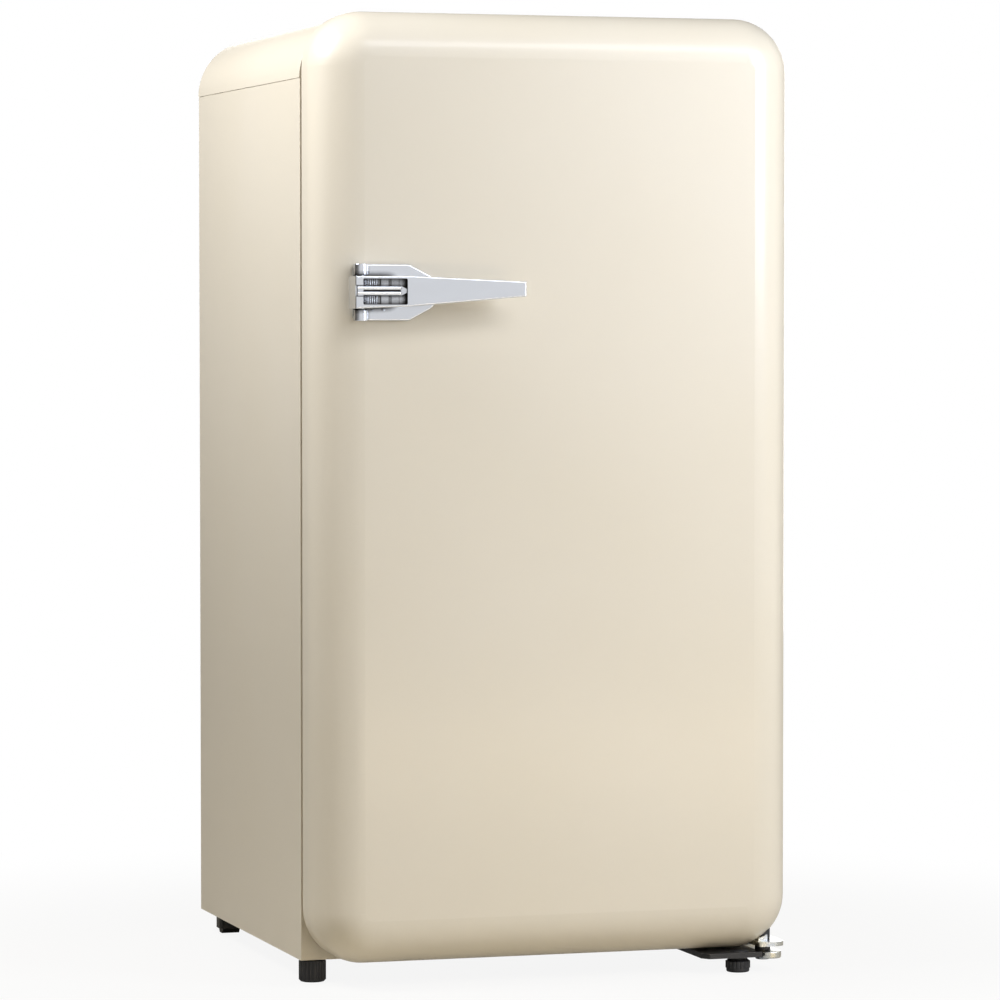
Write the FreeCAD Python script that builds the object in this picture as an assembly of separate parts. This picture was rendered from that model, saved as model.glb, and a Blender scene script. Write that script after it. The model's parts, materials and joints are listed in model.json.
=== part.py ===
import FreeCAD, Part
import math
import os

# Free-standing mini fridge with a bull-nosed steel door, hinged on the right.
# +Z is up, the door faces -Y, +X is the hinge side.  The parts are drawn with the cabinet's
# front face on y = 0 and are then moved so that the origin lies under the middle of the footprint.

V = FreeCAD.Vector

# ---------------------------------------------------------------- driving dimensions (mm)
HALF_W = 237.5            # half the overall width, at the door and the top cover
DEPTH = 400.0             # cabinet, front face to back
BASE_Z = 22.0             # underside of cabinet and door above the floor
DOOR_TOP = 918.0          # top of the door, the highest point
CAP_TOP = 915.0           # top of the cabinet
CAP_SEAM = 857.0          # where the side panels end and the top cover begins
CAP_R = 58.0              # roll of the top cover's long edges
SHEET = 0.8               # painted steel sheet
SIDE_X = HALF_W - 0.6     # outer face of a side panel, just inside the top cover's edge

DOOR_GAP = 7.0            # gasket space between cabinet and door
DOOR_BACK = -DOOR_GAP
DOOR_FRONT = -72.0        # flat front of the door
DOOR_CORNER_R = 52.0      # door corners, seen from the front
DOOR_ROLL_R = 44.0        # bullnose roll round the front of the door
DOOR_BACK_R = 3.0         # rolled back edge of the door
HANDLE_FRONT = -105.0     # front face of the handle lever
ORIGIN_SHIFT = -(DEPTH + HANDLE_FRONT) / 2

HINGE_X, HINGE_Y = 214.0, -43.0     # door hinge axis

# fridge compartment, inside faces of the liner
IN_X = 193.0
IN_Z0, IN_Z1 = 64.5, 875.5
IN_BACK = 355.0
IN_R = 20.0
STEP_Z, STEP_Y = 262.0, 203.0       # raised floor over the compressor
LINER_T = 2.0

# compressor bay, open at the back and below
BAY_TOP, BAY_FRONT = 215.0, 250.0

# shelves
GLASS_T = 4.0
SHELF_Z = (560.0, 412.0)            # undersides of the two glass shelves
SPARE_LEDGE_Z = (486.0, 338.0)      # empty positions between them
SHELF_FRONT, SHELF_BACK = 98.0, 348.0
COVER_Z = 264.0                     # glass over the crisper

PIN_FIT = 0.05                      # radial clearance of pins and shafts


# ---------------------------------------------------------------- shape helpers
def box(x0, x1, y0, y1, z0, z1):
    return Part.makeBox(x1 - x0, y1 - y0, z1 - z0, V(x0, y0, z0))


def rod_z(x, y, z0, z1, r):
    return Part.makeCylinder(r, z1 - z0, V(x, y, z0), V(0, 0, 1))


def rod_y(x, z, y0, y1, r):
    return Part.makeCylinder(r, y1 - y0, V(x, y0, z), V(0, 1, 0))


def rod_x(y, z, x0, x1, r):
    return Part.makeCylinder(r, x1 - x0, V(x0, y, z), V(1, 0, 0))


def outline(points):
    """Closed face through (u, v) points given as 3-D vectors."""
    return Part.Face(Part.makePolygon(points + [points[0]]))


def prism_y(points_xz, y0, y1):
    return outline([V(x, y0, z) for x, z in points_xz]).extrude(V(0, y1 - y0, 0))


def prism_z(points_xy, z0, z1):
    return outline([V(x, y, z0) for x, y in points_xy]).extrude(V(0, 0, z1 - z0))


def prism_x(points_yz, x0, x1):
    return outline([V(x0, y, z) for y, z in points_yz]).extrude(V(x1 - x0, 0, 0))


def rounded(u0, u1, v0, v1, radii, place):
    """Rectangle u0..u1 by v0..v1 with its own radius at each corner, counter-clockwise from u0, v0.
    place(u, v) gives the point in space."""
    corners = ((u0, v0, 1, 1), (u1, v0, -1, 1), (u1, v1, -1, -1), (u0, v1, 1, -1))
    stops = []
    for (u, v, su, sv), r in zip(corners, radii):
        cu, cv = u + su * r, v + sv * r
        along_v, along_u = (u, cv), (cu, v)
        first, last = (along_v, along_u) if su == sv else (along_u, along_v)
        middle = (cu - su * r * math.sqrt(0.5), cv - sv * r * math.sqrt(0.5))
        stops.append((first, middle, last, r))
    edges = []
    for here, after in zip(stops, stops[1:] + stops[:1]):
        if here[3] > 0:
            edges.append(Part.Arc(place(*here[0]), place(*here[1]), place(*here[2])).toShape())
        start, end = place(*here[2]), place(*after[0])
        if start.distanceToPoint(end) > 1e-6:
            edges.append(Part.LineSegment(start, end).toShape())
    return Part.Face(Part.Wire(edges))


def slab_y(x0, x1, z0, z1, r, y0, y1):
    """Rounded rectangle seen from the front, y0 to y1 deep.  r is one radius, or four from the
    lower left corner on."""
    radii = (r,) * 4 if isinstance(r, (int, float)) else r
    return rounded(x0, x1, z0, z1, radii, lambda u, v: V(u, y0, v)).extrude(V(0, y1 - y0, 0))


def slab_z(x0, x1, y0, y1, r, z0, z1):
    """Rounded rectangle seen from above, z0 to z1 high."""
    radii = (r,) * 4 if isinstance(r, (int, float)) else r
    return rounded(x0, x1, y0, y1, radii, lambda u, v: V(u, v, z0)).extrude(V(0, 0, z1 - z0))


def edges_where(shape, test):
    return [edge for edge in shape.Edges if test(edge.BoundBox)]


def fuse(shapes):
    whole = shapes[0].multiFuse(shapes[1:]) if len(shapes) > 1 else shapes[0]
    return whole.removeSplitter()


def cut(shape, tools):
    for tool in tools:
        shape = shape.cut(tool)
    return shape


def group(shapes):
    return Part.makeCompound(shapes)


def arch_y(inset, z0, y0, y1, r=CAP_R):
    """Cabinet outline seen from the front: square below, both top corners rolled."""
    radius = r - inset
    radii = (0, 0, radius, radius)
    return slab_y(-HALF_W + inset, HALF_W - inset, z0, CAP_TOP - inset, radii, y0, y1)


def tube_path(points, bend):
    """Wire of straight runs through the points, each corner taken by an arc of radius bend."""
    edges = []
    start = points[0]
    for before, corner, after in zip(points, points[1:], points[2:]):
        toward = (corner - before).normalize()
        away = (after - corner).normalize()
        half_turn = toward.getAngle(away) / 2
        trim = bend * math.tan(half_turn)
        arc_in, arc_out = corner - toward * trim, corner + away * trim
        inward = (away - toward).normalize()
        arc_mid = corner + inward * (bend / math.cos(half_turn) - bend)
        edges.append(Part.LineSegment(start, arc_in).toShape())
        edges.append(Part.Arc(arc_in, arc_mid, arc_out).toShape())
        start = arc_out
    edges.append(Part.LineSegment(start, points[-1]).toShape())
    return Part.Wire(edges)


def tube(points, bend, r):
    path = tube_path(points, bend)
    first = (points[1] - points[0]).normalize()
    section = Part.Wire([Part.Circle(points[0], first, r).toShape()])
    return path.makePipeShell([section], True, True)


def pan_screw_y(x, z, y_face, length, r, head_r, toward):
    """Pan-head screw along Y.  Its head stands on y_face, its shank runs toward (+1 or -1)."""
    head_t = 0.7 * head_r
    shank = Part.makeCylinder(r, length, V(x, y_face, z), V(0, toward, 0))
    head = Part.makeCylinder(head_r, head_t, V(x, y_face, z), V(0, -toward, 0))
    slot_y = y_face - toward * head_t
    rim = edges_where(head, lambda b: b.YLength < 1e-6 and abs(b.YMin - slot_y) < 1e-6)
    head = head.makeFillet(0.5 * head_t, rim)
    cross = [box(x - head_r * 0.55, x + head_r * 0.55, slot_y - 0.8, slot_y + 0.8, z - 0.5, z + 0.5),
             box(x - 0.5, x + 0.5, slot_y - 0.8, slot_y + 0.8, z - head_r * 0.55, z + head_r * 0.55)]
    return cut(fuse([shank, head]), cross)


def pan_screw_up(x, y, z_face, length, r, head_r):
    """The same screw driven upwards, its head under z_face."""
    screw = pan_screw_y(0, 0, 0, length, r, head_r, 1)
    screw.rotate(V(0, 0, 0), V(1, 0, 0), 90)
    screw.translate(V(x, y, z_face))
    return screw


def write(name, shape):
    placed = shape.copy()
    placed.translate(V(0, ORIGIN_SHIFT, 0))
    placed.exportStep("parts/" + name + ".step")


# ---------------------------------------------------------------- where things meet
OPEN_X, OPEN_Z0, OPEN_Z1 = 195.6, 61.9, 878.1        # hole in the steel front frame
FOOT_STUD_R = 4.0
LEFT_FOOT = (-222.0, 14.0)
RIGHT_FOOT = (187.0, -47.0)
REAR_FEET = ((-213.5, 373.0), (213.5, 373.0))
HINGE_PIN_R = 4.0
UPPER_PIN_R = 3.5
ARM_Z0, ARM_Z1 = 893.9, 897.4                        # upper hinge arm, above the gasket
ARM_X0, ARM_X1 = HINGE_X - 29.0, HINGE_X - 19.0
HINGE_SCREWS = ((158.0, 14.0), (158.0, 52.0), (219.0, 14.0), (219.0, 52.0))
TRAY_Z = 24.2                                        # top of the base plate
GLAND = (-182.0, 50.0)                               # mains cord gland, x and z
DRAIN = (96.0, 338.0)


def front_opening(y0, y1):
    return slab_y(-OPEN_X, OPEN_X, OPEN_Z0, OPEN_Z1, IN_R + 2, y0, y1)


# ---------------------------------------------------------------- cabinet shell
def side_panel(side):
    """Painted sheet with a front flange behind the gasket, and back and bottom returns."""
    x_out = side * SIDE_X

    def span(inward, y0, y1, z0, z1, outer=0.0):
        ends = sorted((x_out - side * outer, x_out - side * inward))
        return box(ends[0], ends[1], y0, y1, z0, z1)

    sheet = fuse([
        span(SHEET, 0, DEPTH, BASE_Z, CAP_SEAM - 0.2),
        span(SIDE_X - OPEN_X, 0, SHEET, BASE_Z, CAP_SEAM - 0.2),
        span(16, DEPTH - SHEET, DEPTH, BASE_Z, CAP_SEAM - 0.2),
        span(19, 0, DEPTH, BASE_Z, BASE_Z + SHEET),
    ])
    corner = edges_where(sheet, lambda b: b.ZLength > 700 and b.XLength < 1e-6
                         and abs(abs(b.XMin) - SIDE_X) < 1e-6)
    sheet = sheet.makeFillet(0.7, corner)
    holes = [front_opening(-1, 2)]
    if side < 0:
        holes.append(rod_z(LEFT_FOOT[0], LEFT_FOOT[1], BASE_Z - 1, BASE_Z + 2, FOOT_STUD_R + 1))
    else:
        holes += [rod_z(x, y, BASE_Z - 1, BASE_Z + 2, 2.2) for x, y in HINGE_SCREWS]
    holes += [rod_z(x, y, BASE_Z - 1, BASE_Z + 2, 2.2) for x, y in REAR_FEET if x * side > 0]
    return cut(sheet, holes)


def top_cover():
    """Pressed cover whose long edges roll down on to the side panels."""
    shell = cut(arch_y(0, CAP_SEAM, 0, DEPTH), [arch_y(1.0, CAP_SEAM - 5, SHEET, DEPTH - SHEET)])
    back_window = arch_y(16, CAP_SEAM - 5, DEPTH - 5, DEPTH + 5)
    arm_slot = box(ARM_X0 - 0.6, ARM_X1 + 0.6, -1, 2, ARM_Z0 - 0.6, ARM_Z1 + 0.6)
    shell = cut(shell, [front_opening(-1, 2), back_window, arm_slot])
    rim = edges_where(shell, lambda b: b.YLength < 1e-6 and b.XLength > 2 * (HALF_W - CAP_R) - 1
                      and abs(b.ZMax - CAP_TOP) < 1e-6 and b.ZLength < 1e-6)
    return shell.makeFillet(0.7, rim)


def front_rail_lower():
    """Cross rail that closes the front frame below the opening."""
    rail_x = OPEN_X - 0.1
    rail = fuse([box(-rail_x, rail_x, 0, SHEET, BASE_Z, OPEN_Z0 + 24),
                 box(-rail_x, rail_x, 0, 22, BASE_Z, BASE_Z + SHEET)])
    screws = [rod_z(x, y, BASE_Z - 1, BASE_Z + 2, 2.2) for x, y in HINGE_SCREWS]
    return cut(rail, [front_opening(-1, 2)] + screws)


def back_panel():
    y1 = DEPTH - SHEET - 0.1
    return arch_y(1.6, BAY_TOP + 2.5, y1 - SHEET, y1)


def base_plate():
    """Bent floor sheet: flat under the fridge, up the front of the compressor bay and over it."""
    z = BASE_Z + SHEET + 0.2
    t = TRAY_Z - z
    y_bay = BAY_FRONT
    profile = [(1.2, z), (y_bay + t, z), (y_bay + t, BAY_TOP), (DEPTH - 1.2, BAY_TOP),
               (DEPTH - 1.2, BAY_TOP + t), (y_bay, BAY_TOP + t), (y_bay, z + t), (1.2, z + t)]
    half = SIDE_X - SHEET - 0.2
    sheet = prism_x(profile, -half, half)
    holes = [rod_z(LEFT_FOOT[0], LEFT_FOOT[1], z - 1, z + t + 1, FOOT_STUD_R + 1)]
    holes += [rod_z(x, y, z - 1, z + t + 1, 2.2) for x, y in HINGE_SCREWS]
    holes.append(rod_z(DRAIN[0], DRAIN[1], BAY_TOP - 1, BAY_TOP + t + 1, 7.5))
    return cut(sheet, holes)


# ---------------------------------------------------------------- liner and insulation
def liner_form(grow, y_front):
    """Space of the compartment, grown outwards by the wall thickness."""
    radius = IN_R + grow
    full = slab_y(-IN_X - grow, IN_X + grow, IN_Z0 - grow, IN_Z1 + grow, radius,
                  y_front, IN_BACK + grow)
    back_edges = edges_where(full, lambda b: b.YLength < 1e-6 and b.YMin > IN_BACK - 1)
    full = full.makeFillet(12 + grow, back_edges)
    step = box(-300, 300, STEP_Y + grow, IN_BACK + 40, 0, STEP_Z - grow)
    return full.cut(step)


def shelf_ledges():
    """Pairs of bars clipped to the side walls, which carry the shelves."""
    ledge_w, ledge_h = 9.0, 7.0
    ribs = []
    for z in SHELF_Z + SPARE_LEDGE_Z + (COVER_Z,):
        y1 = STEP_Y if z == COVER_Z else SHELF_BACK - 6
        for side in (-1, 1):
            ends = sorted((side * IN_X, side * (IN_X - ledge_w)))
            ribs.append(box(ends[0], ends[1], SHELF_FRONT, y1, z - ledge_h, z))
    return ribs


def drawer_runners():
    return [box(x - 5, x + 5, 30, STEP_Y - 1, IN_Z0, IN_Z0 + 3) for x in (-120, 120)]


def inner_liner():
    lip = cut(slab_y(-OPEN_X + 0.3, OPEN_X - 0.3, OPEN_Z0 + 0.3, OPEN_Z1 - 0.3, IN_R + 1.7, 0.0, 3.0),
              [slab_y(-IN_X, IN_X, IN_Z0, IN_Z1, IN_R, -1, 4)])
    shell = cut(liner_form(LINER_T, 0.0), [liner_form(0.0, -1.0)])
    drain_hole = rod_z(DRAIN[0], DRAIN[1], STEP_Z - 10, STEP_Z + 5, 6.0)
    return cut(fuse([shell, lip]), [drain_hole])


def foam_body():
    y0, y1 = SHEET + 0.1, DEPTH - 2 * SHEET - 0.2
    block = arch_y(1.6, TRAY_Z, y0, y1, CAP_R)
    bay = box(-300, 300, BAY_FRONT, DEPTH + 5, 0, BAY_TOP + 1.4)
    insert = rod_z(LEFT_FOOT[0], LEFT_FOOT[1], TRAY_Z - 1, TRAY_Z + 22, 7.0)
    screws = [rod_z(x, y, TRAY_Z - 1, TRAY_Z + 12, 3.0) for x, y in HINGE_SCREWS]
    drain = rod_z(DRAIN[0], DRAIN[1], BAY_TOP - 5, STEP_Z + 5, 7.0)
    hinge_tab = box(ARM_X0 - 8.1, ARM_X1 + 5.1, 0, 4.3, 882.1, ARM_Z1 + 0.1)
    lip = slab_y(-OPEN_X + 0.3, OPEN_X - 0.3, OPEN_Z0 + 0.3, OPEN_Z1 - 0.3, IN_R + 1.7, -1, 3.0)
    return cut(block, [liner_form(LINER_T, -1.0), lip, bay, insert, drain, hinge_tab] + screws)


def drain_tube():
    x, y = DRAIN
    z0, z1 = 186.0, STEP_Z - LINER_T
    body = rod_z(x, y, z0, z1, 7.0)
    return body.cut(rod_z(x, y, z0 - 1, z1 + 1, 5.2))


# ---------------------------------------------------------------- cooling circuit
EVAP_X, EVAP_Z0, EVAP_Z1 = 165.0, 738.0, 860.0
EVAP_Y0, EVAP_Y1 = 80.0, 332.0


def evaporator():
    """Roll-bond aluminium box, open at the front, with the refrigerant channel raised on it."""
    wall = 1.6
    outer = slab_y(-EVAP_X, EVAP_X, EVAP_Z0, EVAP_Z1, 9, EVAP_Y0, EVAP_Y1)
    inner = slab_y(-EVAP_X + wall, EVAP_X - wall, EVAP_Z0 + wall, EVAP_Z1 - wall, 7.4,
                   EVAP_Y0 - 1, EVAP_Y1 - wall)
    channels = []
    runs = 5
    for i in range(runs):
        y = EVAP_Y0 + 30 + i * (EVAP_Y1 - EVAP_Y0 - 60) / (runs - 1)
        for z in (EVAP_Z0, EVAP_Z1):
            channels.append(rod_x(y, z, -EVAP_X + 25, EVAP_X - 25, 3.0))
    below = box(-EVAP_X, EVAP_X, EVAP_Y0, EVAP_Y1, EVAP_Z0 - 5, EVAP_Z0 + wall / 2)
    above = box(-EVAP_X, EVAP_X, EVAP_Y0, EVAP_Y1, EVAP_Z1 - wall / 2, EVAP_Z1 + 5)
    raised = [channel.common(below if channel.BoundBox.ZMin < EVAP_Z0 else above) for channel in channels]
    return fuse([outer.cut(inner)] + raised)


def liner_lugs():
    """Plastic lugs fixed inside the liner: shelf bars, drawer runners and the evaporator's posts."""
    posts = []
    for x in (-130, 130):
        for y in (EVAP_Y0 + 15, EVAP_Y1 - 15):
            posts.append(rod_z(x, y, EVAP_Z1, IN_Z1, 7))
    return group(posts + shelf_ledges() + drawer_runners())


def drip_tray():
    """Shallow tray that hangs under the evaporator."""
    x, y0, y1, z0, z1, wall = 170.0, 86.0, 330.0, 712.0, 728.0, 2.0
    tray = slab_z(-x, x, y0, y1, 8, z0, z1)
    hollow = slab_z(-x + wall, x - wall, y0 + wall, y1 - wall, 6, z0 + wall, z1 + 1)
    lugs = [box(s * 180 - 12, s * 180 + 12, y0 + 20, y1 - 20, z1 - 2, z1) for s in (-1, 1)]
    return fuse([tray, *lugs]).cut(hollow)


FLAP_AXIS_Y, FLAP_AXIS_Z = 65.0, 858.0
FLAP_X = 160.0


def icebox_frame():
    """Plastic frame round the evaporator's mouth, with the lugs that the flap hangs from."""
    y0, y1 = 70.0, EVAP_Y0
    ring = slab_y(-172, 172, 730, 868, 12, y0, y1)
    mouth = slab_y(-EVAP_X + 9, EVAP_X - 9, EVAP_Z0 + 9, EVAP_Z1 - 10, 6, y0 - 1, y1 + 1)
    lugs, holes = [], []
    for s in (-1, 1):
        ends = sorted((s * (FLAP_X + 1.5), s * (FLAP_X + 8)))
        lugs.append(box(ends[0], ends[1], FLAP_AXIS_Y - 4, y0 + 1, FLAP_AXIS_Z - 5, FLAP_AXIS_Z + 5))
        holes.append(rod_x(FLAP_AXIS_Y, FLAP_AXIS_Z, ends[0] - 1, ends[1] + 1, 2.0 + PIN_FIT))
    return cut(fuse([ring.cut(mouth)] + lugs), holes)


def icebox_flap():
    """Top-hinged flap with its pivot pins moulded on and a grip lip along the bottom."""
    t, z0 = 6.0, 742.0
    plate = box(-FLAP_X, FLAP_X, FLAP_AXIS_Y - t / 2, FLAP_AXIS_Y + t / 2, z0, FLAP_AXIS_Z)
    recess = box(-FLAP_X + 14, FLAP_X - 14, FLAP_AXIS_Y - t / 2 - 1, FLAP_AXIS_Y - t / 2 + 1.5,
                 z0 + 26, FLAP_AXIS_Z - 14)
    bead = rod_x(FLAP_AXIS_Y, FLAP_AXIS_Z, -FLAP_X, FLAP_X, t / 2)
    pins = rod_x(FLAP_AXIS_Y, FLAP_AXIS_Z, -FLAP_X - 7, FLAP_X + 7, 2.0)
    grip = box(-45, 45, FLAP_AXIS_Y - t / 2 - 9, FLAP_AXIS_Y, z0, z0 + 4)
    grip_lip = box(-45, 45, FLAP_AXIS_Y - t / 2 - 9, FLAP_AXIS_Y - t / 2 - 6, z0, z0 + 12)
    return fuse([plate.cut(recess), bead, pins, grip, grip_lip])


def condenser_coil():
    """Serpentine tube laid in the foam against both side panels and across the top of the bay."""
    r = 2.4
    coils = []
    for side in (-1, 1):
        x = side * (SIDE_X - SHEET - r - 0.6)
        points = [V(x, 380, 240)]
        rows = 5
        for i in range(rows):
            z_low, z_high = 260, 820
            y = 360 - i * 62
            ends = (z_low, z_high) if i % 2 == 0 else (z_high, z_low)
            points += [V(x, y, ends[0]), V(x, y, ends[1])]
        coils.append(tube(points[1:], 22, r))
    return group(coils)


COMP_X, COMP_Y = 40.0, 325.0
COMP_R = 60.0
MOUNT_Z = 27.4


def compressor_crossbar():
    """Pressed channel that spans the bay and carries the compressor and the rear feet."""
    half = SIDE_X - SHEET - 0.3
    y0, y1 = 268.0, 392.0
    z0 = BASE_Z + SHEET + 0.2
    plate = box(-half, half, y0, y1, z0, MOUNT_Z - 2.6)
    lips = [box(-half, half, y0, y0 + 1.5, z0, 40), box(-half, half, y1 - 1.5, y1, z0, 66)]
    bolts = [rod_z(x, y, z0 - 1, MOUNT_Z, 3.4) for x, y in compressor_bolt_places()]
    feet = [rod_z(x, y, z0 - 1, MOUNT_Z, 2.2) for x, y in REAR_FEET]
    gland = rod_y(GLAND[0], GLAND[1], y1 - 5, y1 + 5, 8.0)
    return cut(fuse([plate] + lips), bolts + feet + [gland])


def compressor_bolt_places():
    return [(COMP_X + dx, COMP_Y + dy) for dx in (-82, 82) for dy in (-36, 36)]


def compressor():
    """Welded oval-topped shell on a four-legged base plate."""
    z0, seam, z1 = 36.0, 96.0, 164.0
    lower = rod_z(COMP_X, COMP_Y, z0, seam, COMP_R)
    lower = lower.makeFillet(18, edges_where(lower, lambda b: b.ZLength < 1e-6 and b.ZMin < z0 + 1))
    upper = rod_z(COMP_X, COMP_Y, seam, z1, COMP_R - 2)
    upper = upper.makeFillet(30, edges_where(upper, lambda b: b.ZLength < 1e-6 and b.ZMin > z1 - 1))
    weld = rod_z(COMP_X, COMP_Y, seam - 3, seam + 2, COMP_R + 3)
    feet = slab_z(COMP_X - 94, COMP_X + 94, COMP_Y - 48, COMP_Y + 48, 12, z0 + 2, z0 + 5)
    bolts = [rod_z(x, y, z0, z0 + 8, 6.5) for x, y in compressor_bolt_places()]
    return fuse([lower, upper, weld, feet.cut(fuse(bolts))])


def compressor_grommets():
    rings = []
    for x, y in compressor_bolt_places():
        body = fuse([rod_z(x, y, TRAY_Z + 0.6, 38, 10), rod_z(x, y, 38, 41, 6.5), rod_z(x, y, 41, 44, 9)])
        rings.append(body.cut(rod_z(x, y, 20, 50, 3.4)))
    return group(rings)


def compressor_bolts():
    return group([fuse([rod_z(x, y, BASE_Z + 2.5, 46, 3.0), hex_nut(x, y, 44.0)])
                  for x, y in compressor_bolt_places()])


def hex_nut(x, y, z, r=6.0, height=4.5):
    angles = [math.radians(60 * i) for i in range(6)]
    hexagon = outline([V(x + r * math.cos(a), y + r * math.sin(a), z) for a in angles])
    return hexagon.extrude(V(0, 0, height))


def relay_cover():
    """Clip-on cover over the starter and the overload switch, on the compressor's left side."""
    x1 = COMP_X - COMP_R - 4
    body = slab_y(x1 - 34, x1, 52, 118, 5, COMP_Y - 26, COMP_Y + 26)
    plug = box(x1 - 1, x1 + 12, COMP_Y - 14, COMP_Y + 14, 66, 90)
    return fuse([body, plug.cut(rod_z(COMP_X, COMP_Y, 30, 170, COMP_R + 0.2))])


def evaporating_pan():
    """Open pan on top of the compressor where the defrost water dries off."""
    x0, x1, y0, y1, z0, z1, wall = -50.0, 130.0, 268.0, 384.0, 166.0, 184.0, 2.0
    pan = slab_z(x0, x1, y0, y1, 14, z0, z1)
    return pan.cut(slab_z(x0 + wall, x1 - wall, y0 + wall, y1 - wall, 12, z0 + wall, z1 + 1))


def refrigerant_lines():
    """Suction, discharge and charging tubes in the bay."""
    top = BAY_TOP - 0.5
    suction = [V(COMP_X + 61, COMP_Y - 10, 110), V(COMP_X + 96, COMP_Y - 10, 110),
               V(COMP_X + 96, COMP_Y - 10, 150), V(COMP_X + 150, COMP_Y + 20, 160),
               V(COMP_X + 150, COMP_Y + 20, top)]
    discharge = [V(COMP_X - 30, COMP_Y + 53, 88), V(COMP_X - 56, COMP_Y + 60, 78),
                 V(COMP_X - 175, COMP_Y + 56, 72), V(COMP_X - 215, COMP_Y + 40, 110),
                 V(COMP_X - 215, COMP_Y + 40, top)]
    charging = [V(COMP_X + 45, COMP_Y + 40, 80), V(COMP_X + 72, COMP_Y + 58, 80),
                V(COMP_X + 120, COMP_Y + 58, 80)]
    return group([tube(suction, 12, 3.2), tube(discharge, 9, 2.5), tube(charging, 9, 3.0)])


def filter_drier():
    """Copper drier between the condenser and the capillary tube."""
    x, y = -206.0, 300.0
    parts = [rod_z(x, y, 96, 172, 8), Part.makeCone(8, 2.5, 12, V(x, y, 172)),
             Part.makeCone(2.5, 8, 12, V(x, y, 84)), rod_z(x, y, 184, BAY_TOP - 0.5, 2.4),
             rod_z(x, y, 70, 84, 1.6)]
    return fuse(parts)


def cord_gland():
    """Strain-relief bush for the mains cord, in the crossbar's rear lip."""
    x, z = GLAND
    body = fuse([rod_y(x, z, 388.8, 392.2, 8.0), rod_y(x, z, 384.5, 390.4, 10.5),
                 rod_y(x, z, 392.2, 399.6, 10.5)])
    return body.cut(rod_y(x, z, 380, 405, 3.6))


# ---------------------------------------------------------------- shelves and crisper
def glass_shelves():
    return group([slab_z(-IN_X + 1.5, IN_X - 1.5, SHELF_FRONT + 3, SHELF_BACK - 3, 6, z, z + GLASS_T)
                  for z in SHELF_Z])


def shelf_trims():
    """Plastic bars clipped on the front and back edge of each glass shelf."""
    bars = []
    half = IN_X - 10.5
    for z in SHELF_Z:
        for y0, y1, lip in ((SHELF_FRONT, SHELF_FRONT + 12, 1), (SHELF_BACK - 12, SHELF_BACK, -1)):
            bar = slab_y(-half, half, z - 5, z + GLASS_T + 3, 2, y0, y1)
            groove = box(-IN_X, IN_X, y0 + 3, y1 + 1, z, z + GLASS_T)
            if lip < 0:
                groove = box(-IN_X, IN_X, y0 - 1, y1 - 3, z, z + GLASS_T)
            bars.append(bar.cut(groove))
    return group(bars)


def crisper_cover():
    return slab_z(-IN_X + 1.5, IN_X - 1.5, SHELF_FRONT - 4, SHELF_BACK, 5, COVER_Z, COVER_Z + GLASS_T)


DRAWER_X, DRAWER_Y0, DRAWER_Y1, DRAWER_Z0, DRAWER_Z1 = 181.0, 90.0, 200.0, 67.9, 244.0


def crisper_drawer():
    """Clear drawer that slides on the floor ribs in front of the raised floor."""
    wall = 2.5
    outer = slab_y(-DRAWER_X, DRAWER_X, DRAWER_Z0, DRAWER_Z1, (16, 16, 0, 0), DRAWER_Y0, DRAWER_Y1)
    inner = slab_y(-DRAWER_X + wall, DRAWER_X - wall, DRAWER_Z0 + wall, DRAWER_Z1 + 5,
                   (13.5, 13.5, 0, 0), DRAWER_Y0 + wall, DRAWER_Y1 - wall)
    grip = prism_x([(DRAWER_Y0, DRAWER_Z1), (DRAWER_Y0 - 6, DRAWER_Z1), (DRAWER_Y0 - 6, DRAWER_Z1 - 14),
                    (DRAWER_Y0 - 3.5, DRAWER_Z1 - 14), (DRAWER_Y0 - 3.5, DRAWER_Z1 - 3),
                    (DRAWER_Y0, DRAWER_Z1 - 3)], -DRAWER_X + 4, DRAWER_X - 4)
    return fuse([outer.cut(inner), grip])


# ---------------------------------------------------------------- thermostat and lamp
BOX_X0, BOX_Y0, BOX_Y1, BOX_Z0, BOX_Z1 = 152.0, 46.0, 236.0, 632.0, 702.0
KNOB_Y, KNOB_Z, KNOB_R = 196.0, 667.0, 19.0
LAMP_Y0, LAMP_Y1 = 76.0, 146.0
PLUNGER_X, PLUNGER_Z, PLUNGER_R = 172.5, 667.0, 4.5


def control_housing():
    wall = 2.0
    x1 = IN_X - 0.2
    outer = slab_z(BOX_X0, x1, BOX_Y0, BOX_Y1, (8, 0, 0, 8), BOX_Z0, BOX_Z1)
    inner = slab_z(BOX_X0 + wall, x1 + 5, BOX_Y0 + wall, BOX_Y1 - wall, (6, 0, 0, 6),
                   BOX_Z0 + wall, BOX_Z1 - wall)
    lamp_window = box(BOX_X0 - 1, BOX_X0 + wall + 1, LAMP_Y0, LAMP_Y1, BOX_Z0 + 12, BOX_Z1 - 12)
    shaft_hole = rod_x(KNOB_Y, KNOB_Z, BOX_X0 - 1, BOX_X0 + 5, 6.0)
    plunger_hole = rod_y(PLUNGER_X, PLUNGER_Z, BOX_Y0 - 1, BOX_Y0 + 3, PLUNGER_R + 0.4)
    return cut(outer.cut(inner), [lamp_window, shaft_hole, plunger_hole])


def thermostat():
    """Capillary thermostat behind the knob, with its threaded bush in the housing wall."""
    body = box(BOX_X0 + 9, BOX_X0 + 34, KNOB_Y - 20, KNOB_Y + 20, KNOB_Z - 15, KNOB_Z + 15)
    bush = rod_x(KNOB_Y, KNOB_Z, BOX_X0 + 0.3, BOX_X0 + 9.5, 5.8)
    bore = rod_x(KNOB_Y, KNOB_Z, BOX_X0 - 1, BOX_X0 + 20, 3.0 + PIN_FIT)
    tabs = [box(BOX_X0 + 34, BOX_X0 + 39, KNOB_Y + d - 3, KNOB_Y + d + 3, KNOB_Z - 0.4, KNOB_Z + 0.4)
            for d in (-10, 10)]
    return fuse([body, bush] + tabs).cut(bore)


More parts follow.
